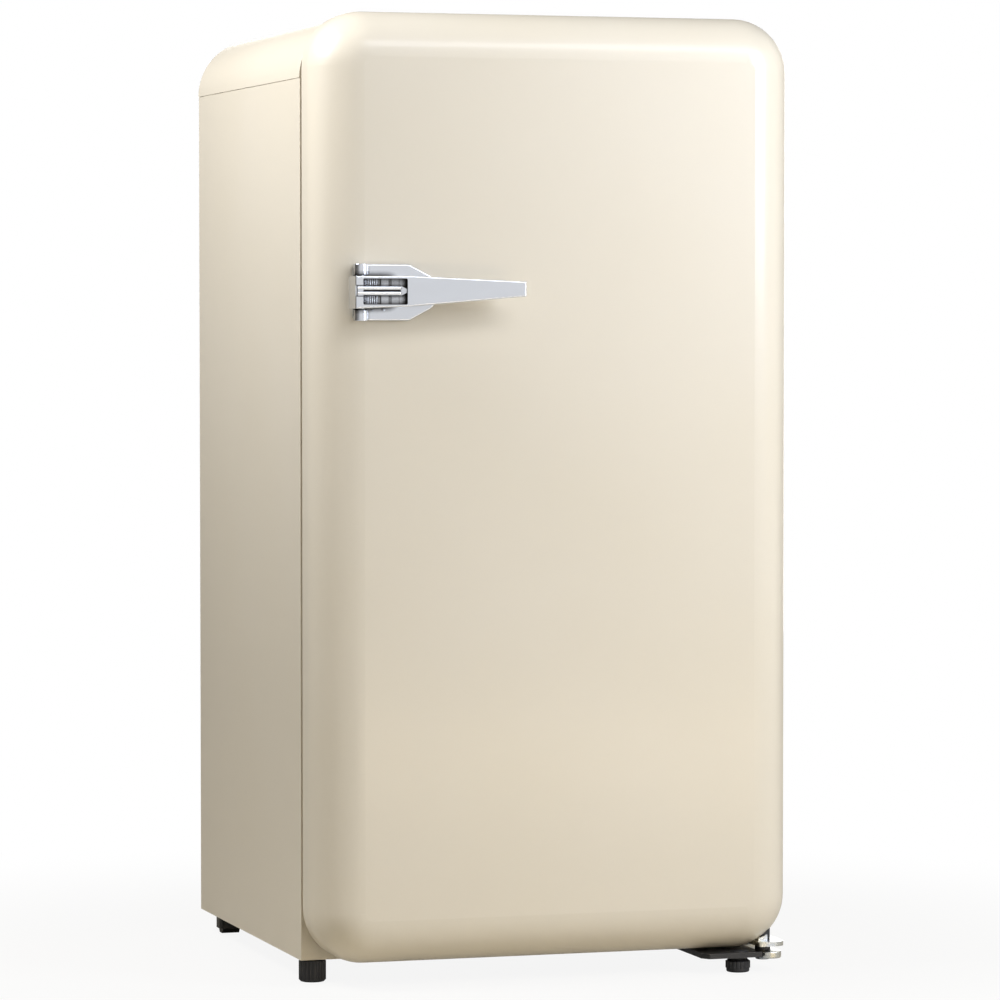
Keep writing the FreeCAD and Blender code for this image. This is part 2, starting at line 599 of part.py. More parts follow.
def thermostat_knob():
    """Round knob with a finger bar and a pointer rib, on its own shaft."""
    x1 = BOX_X0 - 0.6
    disc = rod_x(KNOB_Y, KNOB_Z, x1 - 5, x1, KNOB_R)
    drum = rod_x(KNOB_Y, KNOB_Z, x1 - 14, x1 - 5, KNOB_R - 4)
    rim = edges_where(drum, lambda b: b.XLength < 1e-6 and b.XMin < x1 - 13)
    drum = drum.makeFillet(1.5, rim)
    flutes = []
    for i in range(12):
        a = math.radians(30 * i + 15)
        flutes.append(rod_x(KNOB_Y + (KNOB_R - 3) * math.cos(a), KNOB_Z + (KNOB_R - 3) * math.sin(a),
                            x1 - 15, x1 - 6, 2.2))
    pointer = box(x1 - 15, x1 - 13.5, KNOB_Y - 1.2, KNOB_Y + 1.2, KNOB_Z + 2, KNOB_Z + KNOB_R - 5)
    shaft = rod_x(KNOB_Y, KNOB_Z, x1 - 1, BOX_X0 + 18, 3.0)
    return fuse([disc, cut(drum, flutes), pointer, shaft])


def lamp_holder():
    y = (LAMP_Y0 + LAMP_Y1) / 2
    cup = rod_y(172, KNOB_Z, LAMP_Y1 + 1, LAMP_Y1 + 17, 11)
    cup = cup.cut(rod_y(172, KNOB_Z, LAMP_Y1, LAMP_Y1 + 12, 8.0))
    foot = box(160, 184, LAMP_Y1 + 12, LAMP_Y1 + 16, BOX_Z0 + 2.2, KNOB_Z)
    return fuse([cup, foot])


def lamp_bulb():
    """Small pear-shaped lamp with its threaded cap in the holder."""
    y_cap = LAMP_Y1 + 11.5
    cap = rod_y(172, KNOB_Z, y_cap - 14, y_cap, 7.6)
    neck = Part.makeCone(7.0, 11.0, 12, V(172, y_cap - 14, KNOB_Z), V(0, -1, 0))
    globe = Part.makeSphere(12.0, V(172, y_cap - 31, KNOB_Z))
    return fuse([cap, neck, globe])


def lamp_lens():
    """Clear window that snaps into the housing in front of the lamp."""
    frame = box(BOX_X0 - 1.4, BOX_X0 - 0.1, LAMP_Y0 - 3, LAMP_Y1 + 3, BOX_Z0 + 9, BOX_Z1 - 9)
    plug = box(BOX_X0 - 0.6, BOX_X0 + 1.6, LAMP_Y0 + 0.2, LAMP_Y1 - 0.2, BOX_Z0 + 12.2, BOX_Z1 - 12.2)
    ribs = [box(BOX_X0 - 2.4, BOX_X0 - 1.0, y - 1, y + 1, BOX_Z0 + 12, BOX_Z1 - 12)
            for y in range(int(LAMP_Y0) + 5, int(LAMP_Y1), 6)]
    return fuse([frame, plug] + ribs)


def lamp_switch():
    body = box(PLUNGER_X - 9, PLUNGER_X + 9, BOX_Y0 + 3, BOX_Y0 + 27, PLUNGER_Z - 12, PLUNGER_Z + 12)
    return body.cut(rod_y(PLUNGER_X, PLUNGER_Z, BOX_Y0 + 2, BOX_Y0 + 22, 3.0 + PIN_FIT))


def lamp_switch_plunger():
    """Push rod that the door's inner rim holds in; it comes out as the door opens."""
    tip = -DOOR_RIM_TIP_GAP + BOX_Y0
    head = rod_y(PLUNGER_X, PLUNGER_Z, tip, tip + 5, PLUNGER_R)
    head = head.makeFillet(2, edges_where(head, lambda b: b.YLength < 1e-6 and b.YMin < tip + 1))
    stem = rod_y(PLUNGER_X, PLUNGER_Z, tip + 4, BOX_Y0 + 14, 3.0)
    return fuse([head, stem])


# ---------------------------------------------------------------- door
RIM_Y = 32.0                      # top of the rim moulded on the door's inner panel
DOOR_RIM_TIP_GAP = BOX_Y0 - RIM_Y - 0.6
RIM_X, RIM_Z0, RIM_Z1 = 184.0, 74.0, 866.0
POCKET_X, POCKET_Z0, POCKET_Z1 = 164.0, 94.0, 846.0
FLANGE_X, FLANGE_Z0, FLANGE_Z1 = 222.0, 37.0, 903.0
DOOR_SKIN_T = 0.8
BUSH_R = 7.0


def door_form(inset, y_back):
    """Bull-nosed door block, all faces moved in by inset."""
    block = slab_y(-HALF_W + inset, HALF_W - inset, BASE_Z + inset, DOOR_TOP - inset,
                   DOOR_CORNER_R - inset, DOOR_FRONT + inset, y_back)
    front = edges_where(block, lambda b: b.YLength < 1e-6 and b.YMin < DOOR_FRONT + inset + 1)
    block = block.makeFillet(DOOR_ROLL_R - inset, front)
    back = edges_where(block, lambda b: b.YLength < 1e-6 and b.YMin > y_back - 1)
    return block.makeFillet(DOOR_BACK_R - inset, back)


def hinge_slot():
    """Room in the door's top corner for the upper hinge arm while the door swings round it."""
    x, y = HINGE_X, HINGE_Y
    z0, z1 = ARM_Z0 - 0.9, ARM_Z1 + 0.9
    inner = box(x - 32, x, y - 7.5, y + 40, z0, z1)
    eye = rod_z(x, y, z0, z1, 8.0)
    outer = prism_z([(x, y), (x + 8, y), (x + 11, y + 8), (x + 30, y + 2), (x + 30, y + 40),
                     (x, y + 40)], z0, z1)
    return fuse([inner, eye, outer])


def bush_holes(r):
    lower = rod_z(HINGE_X, HINGE_Y, 20, 70, r)
    upper = rod_z(HINGE_X, HINGE_Y, 862, ARM_Z0, r)
    return [lower, upper]


def door_outer_skin():
    shell = door_form(0, DOOR_BACK)
    window = slab_y(-FLANGE_X - 0.2, FLANGE_X + 0.2, FLANGE_Z0 - 0.2, FLANGE_Z1 + 0.2, 37.2,
                    DOOR_BACK - 3, DOOR_BACK + 3)
    screws = [rod_y(x, z, DOOR_FRONT - 1, DOOR_FRONT + 3, HANDLE_SCREW_R) for x, z in HANDLE_SCREWS]
    hollow = door_form(DOOR_SKIN_T, DOOR_BACK - DOOR_SKIN_T)
    return cut(shell, [hollow, window, hinge_slot()] + bush_holes(BUSH_R) + screws)


def rim_ring(inset, y0, y1):
    """Hollow of the raised rim, filled with foam."""
    outer = slab_y(-RIM_X + inset, RIM_X - inset, RIM_Z0 + inset, RIM_Z1 - inset, 22 - inset, y0, y1)
    return outer.cut(slab_y(-POCKET_X - inset, POCKET_X + inset, POCKET_Z0 - inset, POCKET_Z1 + inset,
                            14 + inset, y0 - 1, y1 + 1))


BIN_Z = ((118.0, 96.0), (338.0, 62.0), (540.0, 62.0))      # floor height and wall height of each bin
BIN_Y0, BIN_Y1, BIN_X = -4.5, 76.0, 161.5


def door_liner():
    """Moulded inner panel: flange under the gasket, raised rim, pocket floor and bin lugs."""
    wall = 2.0
    flange = slab_y(-FLANGE_X, FLANGE_X, FLANGE_Z0, FLANGE_Z1, 37, DOOR_BACK - wall, DOOR_BACK)
    rim = slab_y(-RIM_X, RIM_X, RIM_Z0, RIM_Z1, 22, DOOR_BACK - wall, RIM_Y)
    rim = rim.makeFillet(5, edges_where(rim, lambda b: b.YLength < 1e-6 and b.YMin > RIM_Y - 1))
    pocket = slab_y(-POCKET_X, POCKET_X, POCKET_Z0, POCKET_Z1, 14, DOOR_BACK, RIM_Y + 1)
    shell = cut(fuse([flange, rim]), [pocket, rim_ring(wall, DOOR_BACK - wall - 1, RIM_Y - wall)])
    lugs = []
    for z, height in BIN_Z:
        for side in (-1, 1):
            ends = sorted((side * (POCKET_X + 0.5), side * (BIN_X + 0.2)))
            lugs.append(box(ends[0], ends[1], 2, 22, z + 6, z + height - 12))
    return cut(fuse([shell] + lugs), [hinge_slot()])


def door_foam():
    gap = 0.1
    block = door_form(DOOR_SKIN_T + gap, DOOR_BACK - 2.0 - gap)
    core = fuse([block, rim_ring(2.0 + gap, DOOR_BACK - 2.2, RIM_Y - 2.1)])
    screws = [rod_y(x, z, DOOR_FRONT - 1, DOOR_FRONT + 14, 5.0) for x, z in HANDLE_SCREWS]
    return cut(core, [hinge_slot()] + bush_holes(BUSH_R) + screws)


def door_gasket():
    """Magnetic seal: a ring with a bellows groove round both flanks."""
    outer_x, z0, z1, width, corner_r = 217.0, 42.5, 893.0, 18.0, 34.0
    face = -0.3

    def ring(grow_in, y0, y1):
        edge, hole = grow_in, width - grow_in
        outer = slab_y(-outer_x + edge, outer_x - edge, z0 + edge, z1 - edge, corner_r - edge, y0, y1)
        inner = slab_y(-outer_x + hole, outer_x - hole, z0 + hole, z1 - hole, corner_r - hole,
                       y0 - 1, y1 + 1)
        return outer.cut(inner)

    return fuse([ring(0, DOOR_BACK, -5.2), ring(3.0, -5.3, -3.4), ring(0, -3.5, face)])


def door_bin(z, height):
    """Tray hung on the door's inner panel, with a raised front rail."""
    wall = 2.2
    tray = slab_z(-BIN_X, BIN_X, BIN_Y0, BIN_Y1, (2, 2, 18, 18), z, z + height)
    hollow = slab_z(-BIN_X + wall, BIN_X - wall, BIN_Y0 + wall, BIN_Y1 - wall, (1, 1, 16, 16),
                    z + wall, z + height + 1)
    dip = box(-BIN_X - 1, BIN_X + 1, BIN_Y0 - 1, 20, z + height - 10, z + height + 1)
    return tray.cut(hollow).cut(dip)


def bin_rails():
    """Bright rods across the front of each bin."""
    rods = []
    for z, height in BIN_Z:
        y = BIN_Y1 + 3.0
        level = z + height + 16
        inset = 24.0
        points = [V(-BIN_X + 5, 14, level), V(-BIN_X + 5, y, level), V(BIN_X - 5, y, level),
                  V(BIN_X - 5, 14, level)]
        posts = [rod_z(x, y, z + height - 8, level, 1.6) for x in (-BIN_X + inset, BIN_X - inset)]
        rods.append(fuse([tube(points, 14, 2.0)] + posts))
    return group(rods)


# ---------------------------------------------------------------- hinges
def lower_hinge_plate():
    """Black carrier plate under the front right corner; the right levelling foot screws into it."""
    x0, x1, y0, y1, z0, z1 = 147.0, 206.4, -62.0, 70.0, 15.0, 20.0
    plate = prism_z([(x0, y0 + 8), (x0 + 6, y0), (x1, y0), (x1, y1), (x0, y1)], z0, z1)
    boss = rod_z(RIGHT_FOOT[0], RIGHT_FOOT[1], z0 - 0.6, z1 + 0.6, 9.5)
    holes = [rod_z(RIGHT_FOOT[0], RIGHT_FOOT[1], z0 - 2, z1 + 2, FOOT_STUD_R + PIN_FIT)]
    holes += [rod_z(x, y, z0 - 1, z1 + 1, 2.2) for x, y in HINGE_SCREWS]
    return cut(fuse([plate, boss]), holes)


def lower_hinge_bracket():
    """Zinc-plated bracket beside the carrier plate; its rounded nose holds the hinge pin."""
    x0, x1, y1, z0, z1 = 206.8, 229.0, 70.0, 13.0, 19.6
    nose_r = (x1 - x0) / 2
    x_mid = (x0 + x1) / 2
    arm = box(x0, x1, -52, y1, z0, z1)
    nose = rod_z(x_mid, -52, z0, z1, nose_r)
    bracket = fuse([arm, nose])
    rim = edges_where(bracket, lambda b: b.ZLength < 1e-6 and b.YMin < -60)
    bracket = bracket.makeFillet(1.2, rim)
    holes = [rod_z(HINGE_X, HINGE_Y, z0 - 1, z1 + 1, HINGE_PIN_R)]
    holes += [rod_z(x, y, z0 - 1, z1 + 1, 2.2) for x, y in HINGE_SCREWS]
    return cut(bracket, holes)


def hinge_packer():
    """Steel packer between the hinge parts and the cabinet floor."""
    plate = box(150, 229, 3, 68, 20.7, BASE_Z)
    return cut(plate, [rod_z(x, y, 18, 24, 2.2) for x, y in HINGE_SCREWS])


def hinge_pins():
    """Headed lower pin and plain upper pin."""
    shank = rod_z(HINGE_X, HINGE_Y, 11.5, 58.0, HINGE_PIN_R)
    head = rod_z(HINGE_X, HINGE_Y, 10.6, 13.0, 7.0)
    head = head.makeFillet(1.0, edges_where(head, lambda b: b.ZLength < 1e-6 and b.ZMin < 11))
    point = Part.makeCone(HINGE_PIN_R, HINGE_PIN_R - 1.5, 2, V(HINGE_X, HINGE_Y, 58))
    upper_shank = rod_z(HINGE_X, HINGE_Y, 872, ARM_Z1 + 0.4, UPPER_PIN_R)
    upper_point = Part.makeCone(UPPER_PIN_R - 1.2, UPPER_PIN_R, 2, V(HINGE_X, HINGE_Y, 870))
    return group([fuse([shank, head, point]), fuse([upper_shank, upper_point])])


def door_pivot_leaf():
    """Zinc-plated leaf under the door's corner, which turns with the door."""
    x0, x1, z0, z1 = 203.0, 231.0, 25.0, 29.4
    leaf = slab_z(x0, x1, -64, -16, (3, 12, 12, 3), z0, z1)
    wedge = prism_y([(206.5, z1 - 0.5), (215.5, z1 - 0.5), (215.5, 35.5), (206.5, 31.5)], -52, -34)
    bore = rod_z(HINGE_X, HINGE_Y, z0 - 1, 60, BUSH_R)
    shaft_bore = rod_z(HINGE_X, HINGE_Y, z0 - 1, z1 + 1, HINGE_PIN_R + PIN_FIT)
    door_room = door_form(-0.05, DOOR_BACK)
    return cut(leaf, [shaft_bore, door_room]).fuse(cut(wedge, [bore, door_room])).removeSplitter()


def pivot_sleeve(z0, z1, r, pin_r):
    return rod_z(HINGE_X, HINGE_Y, z0, z1, r).cut(
        rod_z(HINGE_X, HINGE_Y, z0 - 1, z1 + 1, pin_r + PIN_FIT))


def hinge_bushes():
    """Nylon bushes in the door for both pins, and the spacer that the door's weight rests on."""
    return group([pivot_sleeve(29.4, 60.5, BUSH_R, HINGE_PIN_R),
                  pivot_sleeve(868.0, ARM_Z0 - 0.9, BUSH_R, UPPER_PIN_R),
                  pivot_sleeve(19.9, 25.0, 7.5, HINGE_PIN_R)])


def upper_hinge_bracket():
    """Goose-neck arm that leaves the cabinet above the gasket and reaches into the door's corner."""
    x, y = HINGE_X, HINGE_Y
    neck = prism_z([(x, y - 5), (x, y + 5), (ARM_X1, y + 5), (ARM_X1, 4.0), (ARM_X0, 4.0),
                    (ARM_X0, y - 5)], ARM_Z0, ARM_Z1)
    eye = rod_z(x, y, ARM_Z0, ARM_Z1, 5.5)
    tab = box(ARM_X0 - 8, ARM_X1 + 5, 1.2, 4.2, 882.2, ARM_Z1)
    return cut(fuse([neck, eye, tab]), [rod_z(x, y, ARM_Z0 - 1, ARM_Z1 + 1, UPPER_PIN_R)])


def hinge_screws():
    screws = []
    for x, y in HINGE_SCREWS:
        under = 13.0 if x > 206 else 15.0
        screws.append(pan_screw_up(x, y, under, 30.0 - under, 2.1, 4.2))
    return group(screws)


# ---------------------------------------------------------------- feet
def ribbed_foot(x, y, r, top, ribs, stud_top):
    """Round levelling foot with finger ribs and a threaded stud, drawn as its outer size."""
    knob = rod_z(x, y, 0, top, r - 0.7)
    knob = knob.makeFillet(2.2, edges_where(knob, lambda b: b.ZLength < 1e-6))
    teeth = []
    for i in range(ribs):
        a = math.radians(360.0 * i / ribs)
        teeth.append(rod_z(x + (r - 1.3) * math.cos(a), y + (r - 1.3) * math.sin(a), 1.8, top - 1.8, 1.3))
    stud = rod_z(x, y, top - 2, stud_top, FOOT_STUD_R)
    return fuse([knob] + teeth + [stud])


def front_foot_left():
    return ribbed_foot(LEFT_FOOT[0], LEFT_FOOT[1], 13.0, 21.6, 22, 40.0)


def front_foot_right():
    """Lower-waisted foot, because the hinge parts take its height."""
    x, y = RIGHT_FOOT
    base = rod_z(x, y, 0, 4, 11.2)
    base = base.makeFillet(1.6, edges_where(base, lambda b: b.ZLength < 1e-6 and b.ZMin < 1))
    body = [base, rod_z(x, y, 4, 10.5, 12.0), Part.makeCone(11.4, 9.0, 2.4, V(x, y, 10.5)),
            rod_z(x, y, 12.9, 14.1, 9.0), rod_z(x, y, 14.1, 21.2, FOOT_STUD_R)]
    flutes = [rod_z(x + 12.9 * math.cos(math.radians(a)), y + 12.9 * math.sin(math.radians(a)), 3, 11, 1.5)
              for a in range(0, 360, 20)]
    return cut(fuse(body), flutes)


def foot_insert():
    """Threaded insert in the floor that takes the left foot's stud."""
    x, y = LEFT_FOOT
    barrel = rod_z(x, y, TRAY_Z, TRAY_Z + 20, 7.0)
    return barrel.cut(rod_z(x, y, TRAY_Z - 1, TRAY_Z + 21, FOOT_STUD_R + PIN_FIT))


def rear_feet():
    """Moulded glides screwed under the back corners."""
    glides = []
    for x, y in REAR_FEET:
        top = BASE_Z
        block = slab_z(x - 12, x + 12, y - 9, y + 9, 3, 5, top)
        sole = prism_x([(y - 9, 5), (y - 5, 0), (y + 5, 0), (y + 9, 5)], x - 9, x + 9)
        peg = rod_z(x, y, top - 1, 30, 2.1)
        glides.append(fuse([block, sole, peg]))
    return group(glides)


# ---------------------------------------------------------------- handle
PLATE_FRONT = -77.0
EAR_X, EAR_Y, EAR_R = -200.5, -84.0, 6.4
EAR_Z = ((628.0, 639.0), (670.4, 681.2))
EAR_FLOOR = 1.0                           # the pin stops this far inside the ears' outer ends
HANDLE_PIN_R = 2.5
LEVER_X0, LEVER_X1 = -211.5, -46.0
LEVER_TAPER_X = -157.0
LEVER_TOP = (669.7, 669.8, 664.9)         # at the head, the end of the recess and the tip
LEVER_BOTTOM = (639.4, 641.6, 650.8)
HANDLE_SCREW_R = 2.4
HANDLE_SCREWS = ((-180.0, 634.0), (-180.0, 675.5))
SPRING_Z0, SPRING_Z1 = 646.0, 662.0


def handle_base():
    """Shield-shaped plate with two barrel ears for the lever's pin."""
    plate = prism_y([(-206, 628.4), (-152, 628.4), (-131, 639.5), (-114, 654.8), (-131, 670),
                     (-152, 680.8), (-206, 680.8)], PLATE_FRONT, DOOR_FRONT)
    corners = edges_where(plate, lambda b: b.YLength > 4 and b.XLength < 1e-6 and b.XMin < -140)
    plate = plate.makeFillet(5, corners)
    rim = edges_where(plate, lambda b: b.YLength < 1e-6 and b.YMin < PLATE_FRONT + 0.1)
    plate = plate.makeFillet(1.2, rim)
    ears = []
    for z0, z1 in EAR_Z:
        barrel = rod_z(EAR_X, EAR_Y, z0, z1, EAR_R)
        barrel = barrel.makeFillet(0.8, edges_where(barrel, lambda b: b.ZLength < 1e-6))
        ears += [barrel, box(EAR_X - 5.2, EAR_X + 5.2, EAR_Y, PLATE_FRONT + 2, z0 + 0.4, z1 - 0.4)]
    bores = [rod_z(EAR_X, EAR_Y, EAR_Z[0][0] + EAR_FLOOR, EAR_Z[1][1] - EAR_FLOOR, HANDLE_PIN_R)]
    lever_room = box(-214, -150, -86, PLATE_FRONT - 0.01, EAR_Z[0][1], EAR_Z[1][0])
    screws = [rod_y(x, z, PLATE_FRONT + 1.5, DOOR_FRONT + 1, HANDLE_SCREW_R) for x, z in HANDLE_SCREWS]
    return cut(fuse([plate] + ears), bores + [lever_room] + screws)


def lever_front_view():
    xs = (LEVER_X0, LEVER_TAPER_X, LEVER_X1)
    top = list(zip(xs, LEVER_TOP))
    bottom = list(zip(xs, LEVER_BOTTOM))
    return prism_y(bottom + top[::-1], HANDLE_FRONT - 5, PLATE_FRONT + 5)


def handle_lever():
    """Tapered lever: a deep head round the pin, with a reeded recess, and a thin blade."""
    back = PLATE_FRONT - 0.5
    side_view = [(LEVER_X0, back - 2.8), (EAR_X, back), (-176, back), (-168, back - 3), (-158, -92),
                 (-140, -96.6), (LEVER_X1, -98.5), (LEVER_X1, HANDLE_FRONT),
                 (LEVER_X0, HANDLE_FRONT)]
    body = prism_z(side_view, 630, 680).common(lever_front_view())
    front_rim = edges_where(body, lambda b: b.YMax < HANDLE_FRONT + 0.5)
    body = body.makeFillet(1.3, front_rim)
    floor = HANDLE_FRONT + 5.0
    recess = slab_y(-204.4, -161.5, 643.2, 667.4, 1.5, HANDLE_FRONT - 2, floor)
    reeds = [rod_z(x, floor, 643, 667.6, 1.05) for x in [-203.0 + 2.1 * i for i in range(7)]]
    steps = [box(x, x + 7, floor - h, floor + 0.5, 643, 667.6) for x, h in ((-186, 1.2), (-176, 0.6))]
    ridges = []
    for z in (653.6, 658.4):
        ridges.append(rod_x(floor - 2.6, z, -210.5, -168, 2.2))
        ridges.append(box(-210.5, -168, floor - 2.6, floor + 0.5, z - 2.2, z + 2.2))
    spear = prism_y([(-168, 651.4), (-158.5, 656.0), (-168, 660.6)], floor - 4.0, floor + 0.5)
    strip = box(-209.5, -204.0, floor - 4.6, floor + 0.5, 651.4, 660.6)
    inlay = fuse(reeds + steps + ridges + [spear, strip])
    inlay = inlay.common(box(-209.6, -157.5, HANDLE_FRONT + 0.2, floor + 0.5, 643, 667.6))
    groove = box(-212, -204.0, HANDLE_FRONT - 1, HANDLE_FRONT + 1.2, 650.6, 661.4)
    nub = rod_z(-183, -97, 637.6, 642.5, 1.6)
    pin_bore = rod_z(EAR_X, EAR_Y, 630, 680, HANDLE_PIN_R + PIN_FIT)
    spring_room = rod_z(EAR_X, EAR_Y, SPRING_Z0 - 1, SPRING_Z1 + 1, 5.6)
    return cut(fuse([cut(body, [recess, groove]), inlay, nub]), [pin_bore, spring_room])


def handle_pin():
    return rod_z(EAR_X, EAR_Y, EAR_Z[0][0] + EAR_FLOOR, EAR_Z[1][1] - EAR_FLOOR, HANDLE_PIN_R)


def handle_spring():
    """Torsion spring round the pin, inside the lever's head."""
    wire, coil_r, turns = 0.55, 4.2, 6
    helix = Part.makeHelix((SPRING_Z1 - SPRING_Z0 - 2) / turns, SPRING_Z1 - SPRING_Z0 - 2, coil_r)
    section = Part.Wire([Part.Circle(V(coil_r, 0, 0), V(0, 1, 0), wire).toShape()])
    spring = Part.Wire(helix.Edges).makePipeShell([section], True, True)
    spring.translate(V(EAR_X, EAR_Y, SPRING_Z0 + 1))
    return spring


def handle_screws():
    return group([pan_screw_y(x, z, DOOR_FRONT + 4, 7.4, HANDLE_SCREW_R, 4.6, -1)
                  for x, z in HANDLE_SCREWS])


# ---------------------------------------------------------------- write every node
def main():
    os.makedirs("parts", exist_ok=True)
    nodes = {
        "side_panel_left": side_panel(-1),
        "side_panel_right": side_panel(1),
        "top_cover": top_cover(),
        "front_rail_lower": front_rail_lower(),
        "back_panel": back_panel(),
        "base_plate": base_plate(),
        "inner_liner": inner_liner(),
        "foam_body": foam_body(),
        "drain_tube": drain_tube(),
        "evaporator": evaporator(),
        "liner_lugs": liner_lugs(),
        "drip_tray": drip_tray(),
        "icebox_frame": icebox_frame(),
        "icebox_flap": icebox_flap(),
        "condenser_coil": condenser_coil(),
        "compressor_crossbar": compressor_crossbar(),
        "compressor": compressor(),
        "compressor_grommets": compressor_grommets(),
        "compressor_bolts": compressor_bolts(),
        "relay_cover": relay_cover(),
        "evaporating_pan": evaporating_pan(),
        "refrigerant_lines": refrigerant_lines(),
        "filter_drier": filter_drier(),
        "cord_gland": cord_gland(),
        "glass_shelves": glass_shelves(),
        "shelf_trims": shelf_trims(),
        "crisper_cover": crisper_cover(),
        "crisper_drawer": crisper_drawer(),
        "control_housing": control_housing(),
        "thermostat": thermostat(),
        "thermostat_knob": thermostat_knob(),
        "lamp_holder": lamp_holder(),
        "lamp_bulb": lamp_bulb(),
        "lamp_lens": lamp_lens(),
        "lamp_switch": lamp_switch(),
        "lamp_switch_plunger": lamp_switch_plunger(),
        "door_outer_skin": door_outer_skin(),
        "door_liner": door_liner(),
        "door_foam": door_foam(),
        "door_gasket": door_gasket(),
        "bottle_bin": door_bin(*BIN_Z[0]),
        "small_bins": group([door_bin(*place) for place in BIN_Z[1:]]),
        "bin_rails": bin_rails(),
        "lower_hinge_plate": lower_hinge_plate(),
        "lower_hinge_bracket": lower_hinge_bracket(),
        "hinge_packer": hinge_packer(),
        "hinge_pins": hinge_pins(),
        "hinge_bushes": hinge_bushes(),
        "door_pivot_leaf": door_pivot_leaf(),
        "upper_hinge_bracket": upper_hinge_bracket(),
        "hinge_screws": hinge_screws(),
        "front_foot_left": front_foot_left(),
        "front_foot_right": front_foot_right(),
        "foot_insert": foot_insert(),
        "rear_feet": rear_feet(),
        "handle_base": handle_base(),
        "handle_lever": handle_lever(),
        "handle_pin": handle_pin(),
        "handle_spring": handle_spring(),
        "handle_screws": handle_screws(),
    }
    for name, shape in nodes.items():
        write(name, shape)
        bounds = shape.BoundBox
        print("%-22s solids %2d valid %s  x %7.1f %7.1f  y %7.1f %7.1f  z %6.1f %6.1f" % (
            name, len(shape.Solids), shape.isValid(), bounds.XMin, bounds.XMax,
            bounds.YMin, bounds.YMax, bounds.ZMin, bounds.ZMax))


main()
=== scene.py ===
# %% [markdown]
# # A cream mini fridge with a bull-nosed door
# The fridge's metal, plastic and glass pieces come ready-made at their real size. This lesson gives
# each of them the finish of the real thing, models the pieces whose look needs a mesh of their own,
# and sets up a small studio. Everything is in metres, Z is up and the door faces -Y.

# %% Load the fixed frame
import bpy
import bmesh
import json
import math
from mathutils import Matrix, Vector


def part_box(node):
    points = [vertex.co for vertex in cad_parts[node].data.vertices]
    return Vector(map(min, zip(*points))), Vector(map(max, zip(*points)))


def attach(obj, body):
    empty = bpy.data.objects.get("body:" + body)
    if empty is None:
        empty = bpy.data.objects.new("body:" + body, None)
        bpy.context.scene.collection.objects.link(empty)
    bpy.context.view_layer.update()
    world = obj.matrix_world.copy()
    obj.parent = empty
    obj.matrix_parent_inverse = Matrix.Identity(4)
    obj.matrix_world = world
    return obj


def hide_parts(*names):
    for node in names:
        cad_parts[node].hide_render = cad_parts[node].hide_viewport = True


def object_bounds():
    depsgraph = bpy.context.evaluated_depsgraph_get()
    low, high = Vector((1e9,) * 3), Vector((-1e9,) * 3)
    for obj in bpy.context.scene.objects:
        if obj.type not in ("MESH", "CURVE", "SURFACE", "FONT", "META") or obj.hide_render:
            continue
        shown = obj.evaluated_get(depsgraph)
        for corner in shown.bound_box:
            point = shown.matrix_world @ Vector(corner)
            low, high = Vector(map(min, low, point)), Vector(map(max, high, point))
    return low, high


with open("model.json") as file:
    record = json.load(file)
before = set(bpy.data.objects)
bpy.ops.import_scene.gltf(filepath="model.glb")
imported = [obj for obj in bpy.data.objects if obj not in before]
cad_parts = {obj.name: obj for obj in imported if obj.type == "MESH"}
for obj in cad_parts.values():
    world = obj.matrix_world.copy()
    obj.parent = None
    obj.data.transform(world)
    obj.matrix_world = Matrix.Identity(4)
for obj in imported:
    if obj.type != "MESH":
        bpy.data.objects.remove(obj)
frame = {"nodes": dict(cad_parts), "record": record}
cad_low, cad_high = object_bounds()
NODES = frame["nodes"]
MM = 0.001
print("frame", [round(v, 3) for v in cad_low], [round(v, 3) for v in cad_high])

# %% [markdown]
# ## The studio
# A product picture on white. A camera with a long lens stands to the left of the door, a little
# above the middle, so upright edges stay nearly parallel. A short lens close by would show the same
# pieces but spread the sides, which makes an appliance look like a toy.

# %% Camera
LENS_MM = 164.02
CAMERA_PLACE = (-1.3457, -4.3056, 0.6314)
CAMERA_DIPS = 2.295
CAMERA_TURNS = 17.444
scene = bpy.context.scene
camera_data = bpy.data.cameras.new("camera")
camera_data.lens = LENS_MM
camera = bpy.data.objects.new("camera", camera_data)
camera.location = CAMERA_PLACE
camera.rotation_euler = (math.radians(90 - CAMERA_DIPS), 0, math.radians(-CAMERA_TURNS))
scene.collection.objects.link(camera)
scene.camera = camera
scene.view_settings.view_transform = "Standard"
to_fridge = camera.location - (cad_low + cad_high) / 2
print("camera", round(camera_data.lens, 1), "mm lens,", round(to_fridge.length, 2), "m from the fridge")


# %% [markdown]
# ## Two helpers
# Paint charts give colours as sRGB hex, while shaders work on linear light, so one function turns
# the first into the second. A second one adds a shader node with its settings and its links in one
# go, which keeps each finish below readable as a recipe.

# %% Colour and node helpers
def linear(hex_colour):
    """sRGB hex to the linear colour, with alpha, that shaders take."""
    channels = [int(hex_colour[i:i + 2], 16) / 255 for i in (1, 3, 5)]
    return tuple(c / 12.92 if c <= 0.04045 else ((c + 0.055) / 1.055) ** 2.4 for c in channels) + (1,)


def add(tree, kind, inputs=None, **settings):
    """Adds one node. inputs maps a socket's name or number to a value or to another node's output."""
    node = tree.nodes.new(kind)
    for name, value in settings.items():
        setattr(node, name, value)
    for name, value in (inputs or {}).items():
        if isinstance(value, bpy.types.NodeSocket):
            tree.links.new(value, node.inputs[name])
        else:
            node.inputs[name].default_value = value
    return node


# %% [markdown]
# ## A white room
# To the eye the background is plain white, but a room that lit the fridge from everywhere would take
# all shape out of it. The world therefore answers each kind of ray in its own way: white to the eye
# and through glass, dim to the paint, and to a mirror finish it is a studio with a bright wall in
# front on the right and dark cloth behind on the left, so that chrome has something to reflect.

